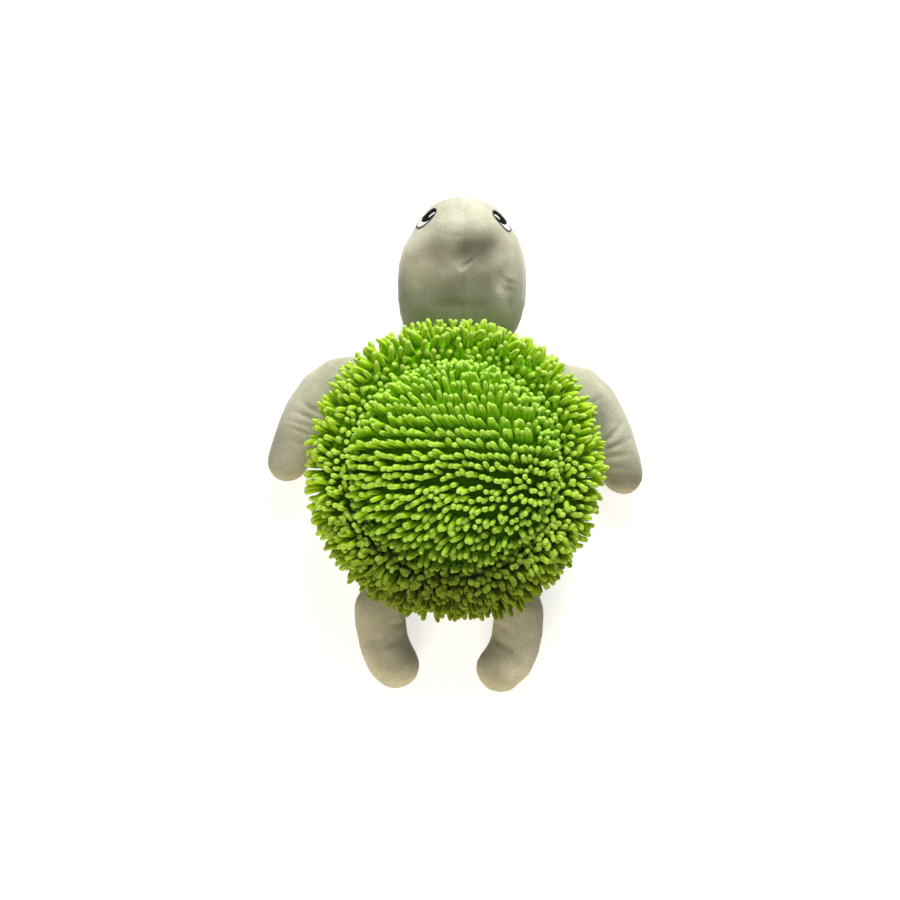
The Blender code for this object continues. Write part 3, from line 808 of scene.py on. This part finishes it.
def spun(name, profile, material, unevenness=0.0):
    """A closed turned form through (radius, height) points, the first and last on the axis."""
    working = bmesh.new()
    rows = []
    steps = TURNED_STEPS
    for radius, height in profile[1:-1]:
        row = []
        for step in range(steps):
            turn = tau * step / steps
            point = Vector((radius * cos(turn), radius * sin(turn), height))
            if unevenness:
                point += unevenness * noise.noise_vector(point * UNEVEN_CELLS)
            row.append(working.verts.new(point))
        rows.append(row)
    for near, far in zip(rows, rows[1:]):
        for step in range(steps):
            following = (step + 1) % steps
            working.faces.new((near[step], near[following], far[following], far[step]))
    for row, (radius, height) in ((rows[0], profile[0]), (rows[-1], profile[-1])):
        pole = working.verts.new((0.0, 0.0, height))
        for step in range(steps):
            working.faces.new((row[step], row[(step + 1) % steps], pole))
    bmesh.ops.recalc_face_normals(working, faces=working.faces)
    mesh = bpy.data.meshes.new(name)
    working.to_mesh(mesh)
    working.free()
    return new_piece(name, mesh, material)


def shell_ground_profile():
    """Section of the shell's ground: over the crown, into the valley, round the roll and under it."""
    base = valley_height()
    points = [(0.0, base + CROWN_HEIGHT - GROUND_BELOW_CROWN)]
    for step in range(1, PROFILE_STEPS):
        slope = 0.5 * pi * step / PROFILE_STEPS
        height = base + CROWN_HEIGHT * cos(slope) - GROUND_BELOW_CROWN
        points.append((crown_radius() * sin(slope), height))
    radius = ROLL_RADIUS - GROUND_BELOW_ROLL
    for step in range(PROFILE_STEPS):
        share = step / (PROFILE_STEPS - 1)
        turn = radians(VALLEY_DEG + share * (ROLL_SEAM_DEG - VALLEY_DEG))
        across = ROLL_CENTRE_RADIUS + radius * cos(turn)
        points.append((across, ROLL_CENTRE_HEIGHT + radius * sin(turn)))
    points.append((0.0, ROLL_CENTRE_HEIGHT - GROUND_UNDERSIDE))
    return points


def make_shell():
    ground = spun("shell_ground", shell_ground_profile(), backing_material(), GROUND_UNEVENNESS)
    tree = noodle_tree()
    values = {
        "Sides": NOODLE_SIDES,
        "Steps": NOODLE_STEPS,
        "Lump Height": LUMP_HEIGHT,
        "Lumps a Metre": LUMPS_A_METRE,
    }
    zones = (
        ("crown", crown_places(), chenille_material("lime_chenille", CROWN_LIME), "shell_crown"),
        ("rim", rim_places(), chenille_material("rim_chenille", RIM_LIME), "shell_rim"),
    )
    for zone, places, lime, node in zones:
        roots = places.mesh(zone + "_roots")
        piece = plain_mesh_from_tree(zone + "_noodles", roots, tree, {**values, "Material": lime})
        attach(piece, "body")
        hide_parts(node)
    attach(ground, "body")
    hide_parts("body_stuffing")


# Stuffed plush


def stuffed_copy(name, nodes, material):
    """One closed skin round the CAD pieces of a stuffed part."""
    working = bmesh.new()
    for node in nodes:
        working.from_mesh(frame["nodes"][node].data)
    bmesh.ops.remove_doubles(working, verts=working.verts, dist=MERGE_DISTANCE)
    mesh = bpy.data.meshes.new(name)
    working.to_mesh(mesh)
    working.free()
    item = new_piece(name, mesh, material)
    remesh = item.modifiers.new("skin", "REMESH")
    remesh.mode = "VOXEL"
    remesh.voxel_size = SKIN_VOXEL
    smooth = item.modifiers.new("eased", "SMOOTH")
    smooth.factor = SKIN_SMOOTH_FACTOR
    smooth.iterations = SKIN_SMOOTH_ROUNDS
    settle(item)
    return item


def settle(item):
    """Applies the modifiers of a piece."""
    mesh = bpy.data.meshes.new_from_object(evaluated(item))
    item.modifiers.clear()
    old = item.data
    item.data = mesh
    mesh.name = item.name
    bpy.data.meshes.remove(old)
    mesh.shade_smooth()


def read_points(mesh, key="co"):
    """The places of a mesh's points, or their normals with the key "normal"."""
    found = np.zeros(len(mesh.vertices) * 3, np.float32)
    mesh.vertices.foreach_get(key, found)
    return found.reshape(-1, 3).astype(float)


def move_points(mesh, places):
    mesh.vertices.foreach_set("co", np.ascontiguousarray(places, np.float32).ravel())
    mesh.update()


def swell(mesh, heights):
    """Moves every point out along its normal by its own height."""
    move_points(mesh, read_points(mesh) + heights[:, None] * read_points(mesh, "normal"))


def fill(item, sewn):
    """Stuffs a part: its skin is blown out under pressure, held where it is sewn, and capped."""
    group = item.vertex_groups.new(name="sewn")
    group.add([v.index for v in item.data.vertices if sewn(v.co)], 1.0, "REPLACE")
    before = read_points(item.data)
    cloth = item.modifiers.new("filling", "CLOTH").settings
    cloth.use_pressure = True
    cloth.uniform_pressure_force = FILL_PRESSURE
    cloth.vertex_group_mass = "sewn"
    cloth.effector_weights.gravity = 0.0
    cloth.quality = FILL_QUALITY
    scene = bpy.context.scene
    for moment in range(1, FILL_FRAMES + 1):
        scene.frame_set(moment)
    moved = read_points(evaluated(item).data) - before
    item.modifiers.clear()
    scene.frame_set(1)
    lengths = np.linalg.norm(moved, axis=1, keepdims=True)
    move_points(item.data, before + moved * np.minimum(1.0, FILL_CAP / np.maximum(lengths, 1e-9)))
    item.vertex_groups.clear()


def finish_skin(item):
    """One subdivision, with the unevenness of hand stuffing."""
    fine = item.modifiers.new("fine", "SUBSURF")
    fine.levels = 1
    fine.render_levels = 1
    settle(item)
    swell(item.data, np.array([
        sum(height * noise.noise(Vector(point) * cells) for cells, height in STUFFING_LUMPS)
        for point in read_points(item.data)
    ]))


def stand_on_floor(mesh):
    points = read_points(mesh)
    points[:, 2] = np.maximum(points[:, 2], FLOOR_CLEARANCE)
    move_points(mesh, points)


def picture_ray(pixel):
    """Start and direction of the camera's ray through a pixel of the photograph."""
    camera = bpy.context.scene.camera
    side = camera.data.sensor_width / camera.data.lens / PICTURE_SIDE
    across = (pixel[0] - 0.5 * PICTURE_SIDE) * side
    down = (pixel[1] - 0.5 * PICTURE_SIDE) * side
    return camera.location.copy(), camera.rotation_quaternion @ Vector((across, -down, -1.0))


def line_on(surface, pixels):
    """The places of a surface that the camera sees at pixels of the photograph."""
    line = [surface.ray_cast(*picture_ray(pixel))[0] for pixel in pixels]
    return np.array([tuple(place) for place in line if place is not None])


def press_folds(item, folds):
    """Presses folds into a skin where the photograph shows them: depth, width and pixels of each."""
    surface = surface_of(item)
    for depth, width, pixels in folds:
        crease(item.data, line_on(surface, pixels), depth, width)


def paint_shade_and_light(item, strokes):
    """Marks painted shade on a skin along lines: share of painted shade (below 0: painted light), width
    and pixels.
    """
    surface = surface_of(item)
    points = read_points(item.data)
    painted_shade_and_light = np.zeros(len(points))
    for share, width, pixels in strokes:
        painted_shade_and_light += share * np.exp(-(distance_from_line(points, line_on(surface, pixels)) / width) ** 2)
    layer = item.data.attributes.new("painted_shade_and_light", "FLOAT", "POINT")
    layer.data.foreach_set("value", painted_shade_and_light.astype(np.float32))


def distance_from_line(points, ends):
    nearest = np.full(len(points), 1e9)
    for start, end in zip(ends, ends[1:]):
        run = end - start
        share = np.clip((points - start) @ run / (run @ run), 0.0, 1.0)
        distance = np.linalg.norm(points - (start + share[:, None] * run), axis=1)
        nearest = np.minimum(nearest, distance)
    return nearest


def sew_seam(mesh, panels):
    """Draws a skin in along the seam between two CAD panels, with small puckers."""
    surfaces = [surface_of(frame["nodes"][name]) for name in panels]
    heights = np.zeros(len(mesh.vertices))
    for index, vertex in enumerate(mesh.vertices):
        nearness = [surface.find_nearest(vertex.co)[3] for surface in surfaces]
        off = (nearness[0] - nearness[1]) / SEAM_WIDTH
        pucker = 1.0 + PUCKER_SHARE * noise.noise(vertex.co * PUCKER_CELLS)
        heights[index] = -SEAM_DEPTH * pucker * (1.0 - LIP_SHARE * off * off) * exp(-off * off)
    swell(mesh, heights)


def crease(mesh, ends, depth, width):
    """Presses a crease into a skin along a line, with a soft lip on both sides."""
    points = read_points(mesh)
    from_ends = [np.linalg.norm(points - end, axis=1) for end in (ends[0], ends[-1])]
    fade = np.clip(np.minimum(*from_ends) / (CREASE_END_WIDTHS * width), CREASE_END_SHARE, 1.0)
    reach = (distance_from_line(points, ends) / width) ** 2
    swell(mesh, -depth * fade * (1.0 - LIP_SHARE * reach) * np.exp(-reach))


# Folds that the photograph shows: depth, width and pixels along each
HEAD_FOLDS = (
    (0.0005, 0.0040, ((438, 233), (454, 236), (472, 234))),
    (0.0058, 0.0130, ((462, 256), (478, 256), (492, 248))),
    (0.0020, 0.0027, ((462, 268), (469, 263), (476, 257))),
    (0.0034, 0.0120, ((424, 258), (444, 266))),
    (0.0007, 0.0050, ((452, 256), (461, 266))),
    (0.0008, 0.0060, ((436, 306), (455, 304), (478, 306))),
    (0.0022, 0.0080, ((496, 276), (508, 292), (510, 306))),
    (0.0008, 0.0030, ((500, 276), (508, 282), (516, 284))),
)
LIMB_FOLDS = {
    "left_flipper": (
        (0.0012, 0.0034, ((322, 415), (308, 407), (300, 400))),
        (0.0012, 0.0030, ((319, 423), (306, 416), (293, 411))),
        (0.0010, 0.0030, ((316, 431), (302, 424), (288, 421))),
        (0.0010, 0.0030, ((314, 438), (300, 431), (286, 427))),
        (0.0008, 0.0034, ((310, 447), (297, 443), (288, 441))),
    ),
    "right_flipper": (
        (0.0010, 0.0034, ((587, 409), (594, 402), (602, 398))),
        (0.0016, 0.0038, ((600, 447), (611, 437), (622, 424))),
        (0.0014, 0.0034, ((602, 452), (616, 446), (630, 439))),
        (0.0012, 0.0034, ((603, 458), (618, 456), (634, 455))),
        (0.0008, 0.0034, ((606, 468), (620, 468), (632, 470))),
    ),
    "left_hind_leg": (
        (0.0007, 0.0040, ((406, 622), (396, 624), (386, 630))),
        (0.0006, 0.0040, ((404, 634), (396, 642), (386, 646))),
    ),
    "right_hind_leg": (
        (0.0007, 0.0040, ((494, 624), (504, 627), (514, 634))),
        (0.0006, 0.0040, ((493, 636), (502, 644), (512, 648))),
    ),
}

# Painted shade on the skins, below 0 painted light: share, width and pixels of each stroke
HEAD_PAINTED_SHADE = (
    (0.62, 0.0150, ((440, 246), (466, 247), (484, 244))),
    (0.55, 0.0100, ((470, 240), (487, 245), (484, 254))),
    (0.55, 0.0090, ((466, 254), (472, 266))),
    (0.45, 0.0160, ((452, 286), (484, 284))),
    (-0.50, 0.0150, ((411, 248), (414, 282))),
    (-0.80, 0.0055, ((506, 278), (500, 288))),
    (-0.40, 0.0110, ((504, 238), (514, 262))),
)
LIMB_PAINTED_SHADE = {
    "left_flipper": (
        (-0.60, 0.0190, ((296, 392), (318, 374))),
        (0.35, 0.0110, ((303, 428), (312, 412))),
        (0.50, 0.0150, ((276, 436), (284, 470))),
    ),
    "right_flipper": (
        (-0.40, 0.0130, ((590, 378), (622, 408))),
        (0.45, 0.0110, ((600, 412), (608, 446))),
        (1.05, 0.0125, ((616, 482), (630, 478))),
    ),
    "left_hind_leg": ((-0.15, 0.0200, ((378, 638), (384, 660))),),
    "right_hind_leg": (
        (-0.40, 0.0170, ((528, 630), (530, 655))),
        (-0.60, 0.0120, ((512, 670), (528, 662))),
    ),
}

# How far the skins are held at their roots, and how long they bend across a limb's seam
HEAD_SEWN_LENGTH = 0.02
LIMB_SEWN_LENGTH = 0.004


def stuff(name, nodes, is_sewn, folds, strokes, plush):
    """A stuffed part: its skin is filled, sewn along its two panels, folded and marked with painted
    shade and light.
    """
    item = stuffed_copy(name, nodes, plush)
    fill(item, is_sewn)
    finish_skin(item)
    sew_seam(item.data, nodes[:2])
    press_folds(item, folds)
    paint_shade_and_light(item, strokes)
    stand_on_floor(item.data)
    return item


def make_head(plush):
    nodes = ("head_left_panel", "head_right_panel", "head_stuffing")
    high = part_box("head_stuffing")[1]
    back = high.y - HEAD_SEWN_LENGTH
    head = stuff("head_plush", nodes, lambda place: place.y > back, HEAD_FOLDS, HEAD_PAINTED_SHADE, plush)
    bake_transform(head)
    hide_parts("head_left_panel", "head_right_panel", "head_stuffing")
    return head


def make_limb(word, plush):
    nodes = [word + "_top_panel", word + "_bottom_panel", word + "_stuffing"]
    joint = next(item for item in frame["joints"] if item["child"] == word)
    hinge = Vector(joint["pos_m"])
    axis = Vector(joint["axis"]).normalized()
    outward = UP.cross(axis).normalized()
    if outward.dot(hinge) < 0:
        outward.negate()

    def is_sewn(place):
        return (place - hinge).dot(outward) < LIMB_SEWN_LENGTH

    limb = stuff(word + "_plush", nodes, is_sewn, LIMB_FOLDS[word], LIMB_PAINTED_SHADE[word], plush)
    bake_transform(limb)
    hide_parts(*nodes)


# Belly: its flat underside, the round corner above it and the edge under the shell
BELLY_FLAT_RADIUS = 0.074
BELLY_RING_RADII = (0.05, 0.025, 0.0)
BELLY_CLEARANCE = 0.0003
BELLY_CORNER_HEIGHT = 0.017
BELLY_CORNER_STEPS = 12
BELLY_CORNER_INSET = 0.0004
BELLY_EDGE = 0.004
BELLY_EDGE_INSET = 0.0008
BELLY_TOP_DROP = 0.001


def belly_profile():
    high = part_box("belly_panel")[1]
    top = high.z - BELLY_TOP_DROP
    edge = (high.x - BELLY_EDGE_INSET, high.z - BELLY_EDGE)
    points = [(0.0, top), (high.x - BELLY_EDGE, top), edge]
    corner = high.x - BELLY_FLAT_RADIUS
    for step in range(BELLY_CORNER_STEPS + 1):
        turn = 0.5 * pi * step / BELLY_CORNER_STEPS
        across = BELLY_FLAT_RADIUS + corner * cos(turn) - BELLY_CORNER_INSET
        points.append((across, BELLY_CORNER_HEIGHT * (1.0 - sin(turn)) + BELLY_CLEARANCE))
    return points + [(radius, BELLY_CLEARANCE) for radius in BELLY_RING_RADII]


def make_belly(plush):
    belly = spun("belly_plush", belly_profile(), plush)
    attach(belly, "body")
    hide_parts("belly_panel")


# Embroidered eyes

# Halves are a length along the head and a height; places are forward and up in the eye's plane
EYE_BACK = 0.0645
EYE_HEIGHT = 0.049
EYE_YAW_DEG = 44.0
EYE_PITCH_DEG = 22.0
EYE_HALF = (0.0128, 0.0088)
OUTLINE_WIDTH = 0.0009
EYE_TAPER_SHARE = 0.22
PUPIL_HALF = (0.0092, 0.0076)
PUPIL_FORWARD = 0.0036
HIGHLIGHT_HALF = (0.0040, 0.0019)
HIGHLIGHT_PLACE = (0.0052, 0.0036)

# Thread, and how high the stitches of each area stand over the plush
THREAD_RADIUS = 0.00026
THREAD_SIDES = 6
THREAD_PITCH = 0.00042
OUTLINE_LIFT = 0.0007
WHITE_LIFT = 0.0006
PUPIL_LIFT = 0.0007
HIGHLIGHT_LIFT = 0.0012

# A stitch: points along it, how low its end dips, and over how many points it rises from there
STITCH_STEP = 0.0006
STITCH_END_SHARE = 0.35
STITCH_RISE_SHARE = 0.65
STITCH_RISE_POINTS = 2.0
SEARCHED_SHARE = 1.3

# A stitch of the outline: share of the outline's width and of the lift at each of its points
OUTLINE_STITCH = ((0.0, 0.5), (0.33, 1.0), (0.67, 1.0), (1.0, 0.5))

# How far out the rays that look for the head's surface start
RAY_LENGTH = 0.12


class EyePlace:
    """The plane of an eye and the head's surface under it."""

    def __init__(self, head, side):
        yaw = radians(EYE_YAW_DEG)
        pitch = radians(EYE_PITCH_DEG)
        level = cos(pitch)
        self.out = Vector((side * level * sin(yaw), -level * cos(yaw), sin(pitch)))
        self.forward = side * self.out.cross(UP).normalized()
        self.upward = side * self.forward.cross(self.out).normalized()
        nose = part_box("head_left_panel")[0].y
        self.start = Vector((0.0, nose + EYE_BACK, EYE_HEIGHT)) + RAY_LENGTH * self.out
        self.surface = surface_of(head)

    def point(self, forward, up, lift):
        """Point over the head's surface, from its place in the eye's plane."""
        origin = self.start + forward * self.forward + up * self.upward
        place, normal, _, _ = self.surface.ray_cast(origin, -self.out)
        return place + lift * normal


def taper(forward, half):
    """An eye is fuller behind than in front: share of its height at a place along it."""
    return 1.0 - EYE_TAPER_SHARE * forward / half[0]


def inside_oval(forward, up, half, centre=(0.0, 0.0), inset=0.0):
    across = (forward - centre[0]) / (half[0] - inset)
    along = (up - centre[1]) / (taper(forward - centre[0], half) * (half[1] - inset))
    return across ** 2 + along ** 2 < 1.0


def in_white(forward, up):
    beside = not inside_oval(forward, up, PUPIL_HALF, (PUPIL_FORWARD, 0.0))
    return beside and inside_oval(forward, up, EYE_HALF, inset=OUTLINE_WIDTH)


def in_pupil(forward, up):
    round_pupil = inside_oval(forward, up, PUPIL_HALF, (PUPIL_FORWARD, 0.0))
    return round_pupil and inside_oval(forward, up, EYE_HALF, inset=OUTLINE_WIDTH)


def in_highlight(forward, up):
    return inside_oval(forward, up, HIGHLIGHT_HALF, HIGHLIGHT_PLACE)


def stitch_tree():
    """A thread laid along every line of the base mesh."""
    inputs = (("Thread Radius", "Float"), ("Sides", "Int"), ("Material", "Material"))
    tree, wiring, given = new_geometry_tree("satin_stitches", inputs)
    lines = wiring.out("GeometryNodeMeshToCurve", {"Mesh": given["Geometry"]})
    size = {"Resolution": given["Sides"], "Radius": given["Thread Radius"]}
    profile = wiring.out("GeometryNodeCurvePrimitiveCircle", size)
    run = {"Curve": lines, "Profile Curve": profile, "Fill Caps": True}
    thread = wiring.out("GeometryNodeCurveToMesh", run)
    end_tree(wiring, thread, given["Material"])
    return tree


def satin_lines(eye, inside, half, centre, lift):
    """Stitch lines across an area, side by side at the thread's pitch."""
    lines = []
    reach = SEARCHED_SHARE * max(half)
    offset = -reach
    while offset < reach:
        run = []
        step = -reach
        while step < reach:
            place = (centre[0] + offset, centre[1] + step)
            if inside(*place):
                run.append(place)
            else:
                if len(run) > 1:
                    lines.append(satin_line(eye, run, lift))
                run = []
            step += STITCH_STEP
        offset += THREAD_PITCH
    return lines


def satin_line(eye, run, lift):
    """One stitch over its run of places: it rises out of the plush at both ends."""
    line = []
    for index, place in enumerate(run):
        rise = min(index, len(run) - 1 - index) / STITCH_RISE_POINTS
        share = min(1.0, STITCH_END_SHARE + STITCH_RISE_SHARE * rise)
        line.append(eye.point(*place, lift * share))
    return line


def outline_lines(eye):
    """Short stitches across the outline, all the way round."""
    lines = []
    count = int(pi * sum(EYE_HALF) / THREAD_PITCH)
    for index in range(count):
        turn = tau * index / count
        line = []
        for share, lift_share in OUTLINE_STITCH:
            inset = share * OUTLINE_WIDTH
            forward = (EYE_HALF[0] - inset) * cos(turn)
            up = taper(forward, EYE_HALF) * (EYE_HALF[1] - inset) * sin(turn)
            line.append(eye.point(forward, up, lift_share * OUTLINE_LIFT))
        lines.append(line)
    return lines


def embroider(name, lines, tree, thread, node):
    """Lays thread along the lines, on the head, in place of a CAD node."""
    points = []
    edges = []
    for line in lines:
        first = len(points)
        points += line
        edges += [(first + index, first + index + 1) for index in range(len(line) - 1)]
    mesh = bpy.data.meshes.new(name)
    mesh.from_pydata(points, edges, [])
    values = {"Thread Radius": THREAD_RADIUS, "Sides": THREAD_SIDES, "Material": thread}
    piece = plain_mesh_from_tree(name, mesh, tree, values)
    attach(piece, "head")
    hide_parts(node)


def make_eyes(head):
    black = thread_material("black_thread", (0.003, 0.003, 0.004), (0.012, 0.012, 0.013), 0.8, 0.02)
    white = thread_material("white_thread", (0.62, 0.62, 0.60), (0.80, 0.80, 0.78), 0.5, 0.2)
    grey = thread_material("grey_thread", (0.05, 0.05, 0.045), (0.11, 0.11, 0.10), 0.6, 0.1)
    tree = stitch_tree()
    middle = (0.0, 0.0)
    areas = (
        ("white", in_white, EYE_HALF, middle, WHITE_LIFT, white, "eye_white"),
        ("pupil", in_pupil, EYE_HALF, middle, PUPIL_LIFT, black, "eye_black"),
        ("highlight", in_highlight, HIGHLIGHT_HALF, HIGHLIGHT_PLACE, HIGHLIGHT_LIFT, white, "eye_white"),
    )
    for word, side in (("left", 1), ("right", -1)):
        eye = EyePlace(head, side)
        prefix = word + "_eye_"
        lines = outline_lines(eye)
        embroider(prefix + "outline_stitches", lines, tree, grey, prefix + "outline")
        for area, inside, half, centre, lift, thread, slot in areas:
            lines = satin_lines(eye, inside, half, centre, lift)
            embroider(prefix + area + "_stitches", lines, tree, thread, prefix + area)


# Stage

FLOOR_HALF_SIDE = 3.0

# What the camera sees the floor glow by, so that it reads white and keeps its shadows
FLOOR_GLOW = 0.62


def seen_or_lit(wiring, seen_strength, lit_strength):
    """A strength for what the camera, gloss and glass see, and another for what it lights."""
    rays = wiring.add("ShaderNodeLightPath").outputs
    seen = wiring.math("MAXIMUM", rays["Is Camera Ray"], rays["Is Glossy Ray"])
    seen = wiring.math("MAXIMUM", seen, rays["Is Transmission Ray"])
    more = wiring.math("MULTIPLY", seen, seen_strength - lit_strength)
    return wiring.math("ADD", more, lit_strength)


def make_floor():
    side = FLOOR_HALF_SIDE
    corners = [(-side, -side, 0.0), (side, -side, 0.0), (side, side, 0.0), (-side, side, 0.0)]
    mesh = bpy.data.meshes.new("floor")
    mesh.from_pydata(corners, [], [(0, 1, 2, 3)])
    material, wiring, shader = new_material("pale_floor")
    wiring.feed_all(shader, {
        "Base Color": (0.80, 0.80, 0.79, 1.0),
        "Roughness": 0.9,
        "Emission Color": (1.0, 1.0, 1.0, 1.0),
        "Emission Strength": seen_or_lit(wiring, FLOOR_GLOW, 0.0),
    })
    floor = new_piece("floor", mesh, material)


AMBIENT_STRENGTH = 0.28

# Lamps, which all point at the turtle's middle: name, place, side, power in watts and colour
LAMP_TARGET = Vector((0.0, 0.0, 0.04))
LAMPS = (
    ("front_softbox", (-0.20, -1.48, 0.83), 0.8, 41.0, (1.0, 1.0, 1.0)),
    ("back_fill", (0.30, 1.50, 0.45), 0.8, 22.0, (1.0, 0.85, 0.60)),
)


def make_light():
    world = bpy.data.worlds.new("studio")
    bpy.context.scene.world = world
    world.use_nodes = True
    wiring = Wiring(world.node_tree)
    background = world.node_tree.nodes["Background"]
    background.inputs["Color"].default_value = (1.0, 1.0, 1.0, 1.0)
    wiring.feed(background.inputs["Strength"], seen_or_lit(wiring, 1.0, AMBIENT_STRENGTH))
    for name, place, size, power, colour in LAMPS:
        lamp = bpy.data.lights.new(name, "AREA")
        lamp.color = colour
        lamp.energy = power
        lamp.size = size
        item = new_object(name, lamp)
        item.location = place
        item.rotation_mode = "QUATERNION"
        item.rotation_quaternion = (LAMP_TARGET - item.location).to_track_quat("-Z", "Y")


def make_camera():
    azimuth = radians(CAMERA_AZIMUTH_DEG)
    elevation = radians(CAMERA_ELEVATION_DEG)
    level = cos(elevation)
    back = Vector((level * sin(azimuth), -level * cos(azimuth), sin(elevation)))
    turn = (-back).to_track_quat("-Z", "Y") @ Quaternion((0.0, 0.0, 1.0), radians(CAMERA_ROLL_DEG))
    camera = bpy.data.cameras.new("camera")
    camera.sensor_width = SENSOR_WIDTH
    camera.lens = SENSOR_WIDTH * CAMERA_DISTANCE / (PICTURE_SIDE * METRES_PER_PIXEL)
    item = new_object("camera", camera)
    item.rotation_mode = "QUATERNION"
    item.rotation_quaternion = turn
    middle = 0.5 * PICTURE_SIDE
    aside = turn @ Vector((middle - ORIGIN_PIXEL[0], ORIGIN_PIXEL[1] - middle, 0.0)) * METRES_PER_PIXEL
    item.location = aside + CAMERA_DISTANCE * back
    bpy.context.scene.camera = item


def main():
    bpy.context.scene.view_settings.view_transform = "Standard"
    make_camera()
    make_light()
    make_floor()
    make_shell()
    plush = plush_material()
    make_belly(plush)
    head = make_head(plush)
    for word in LIMB_FOLDS:
        make_limb(word, plush)
    make_eyes(head)


main()
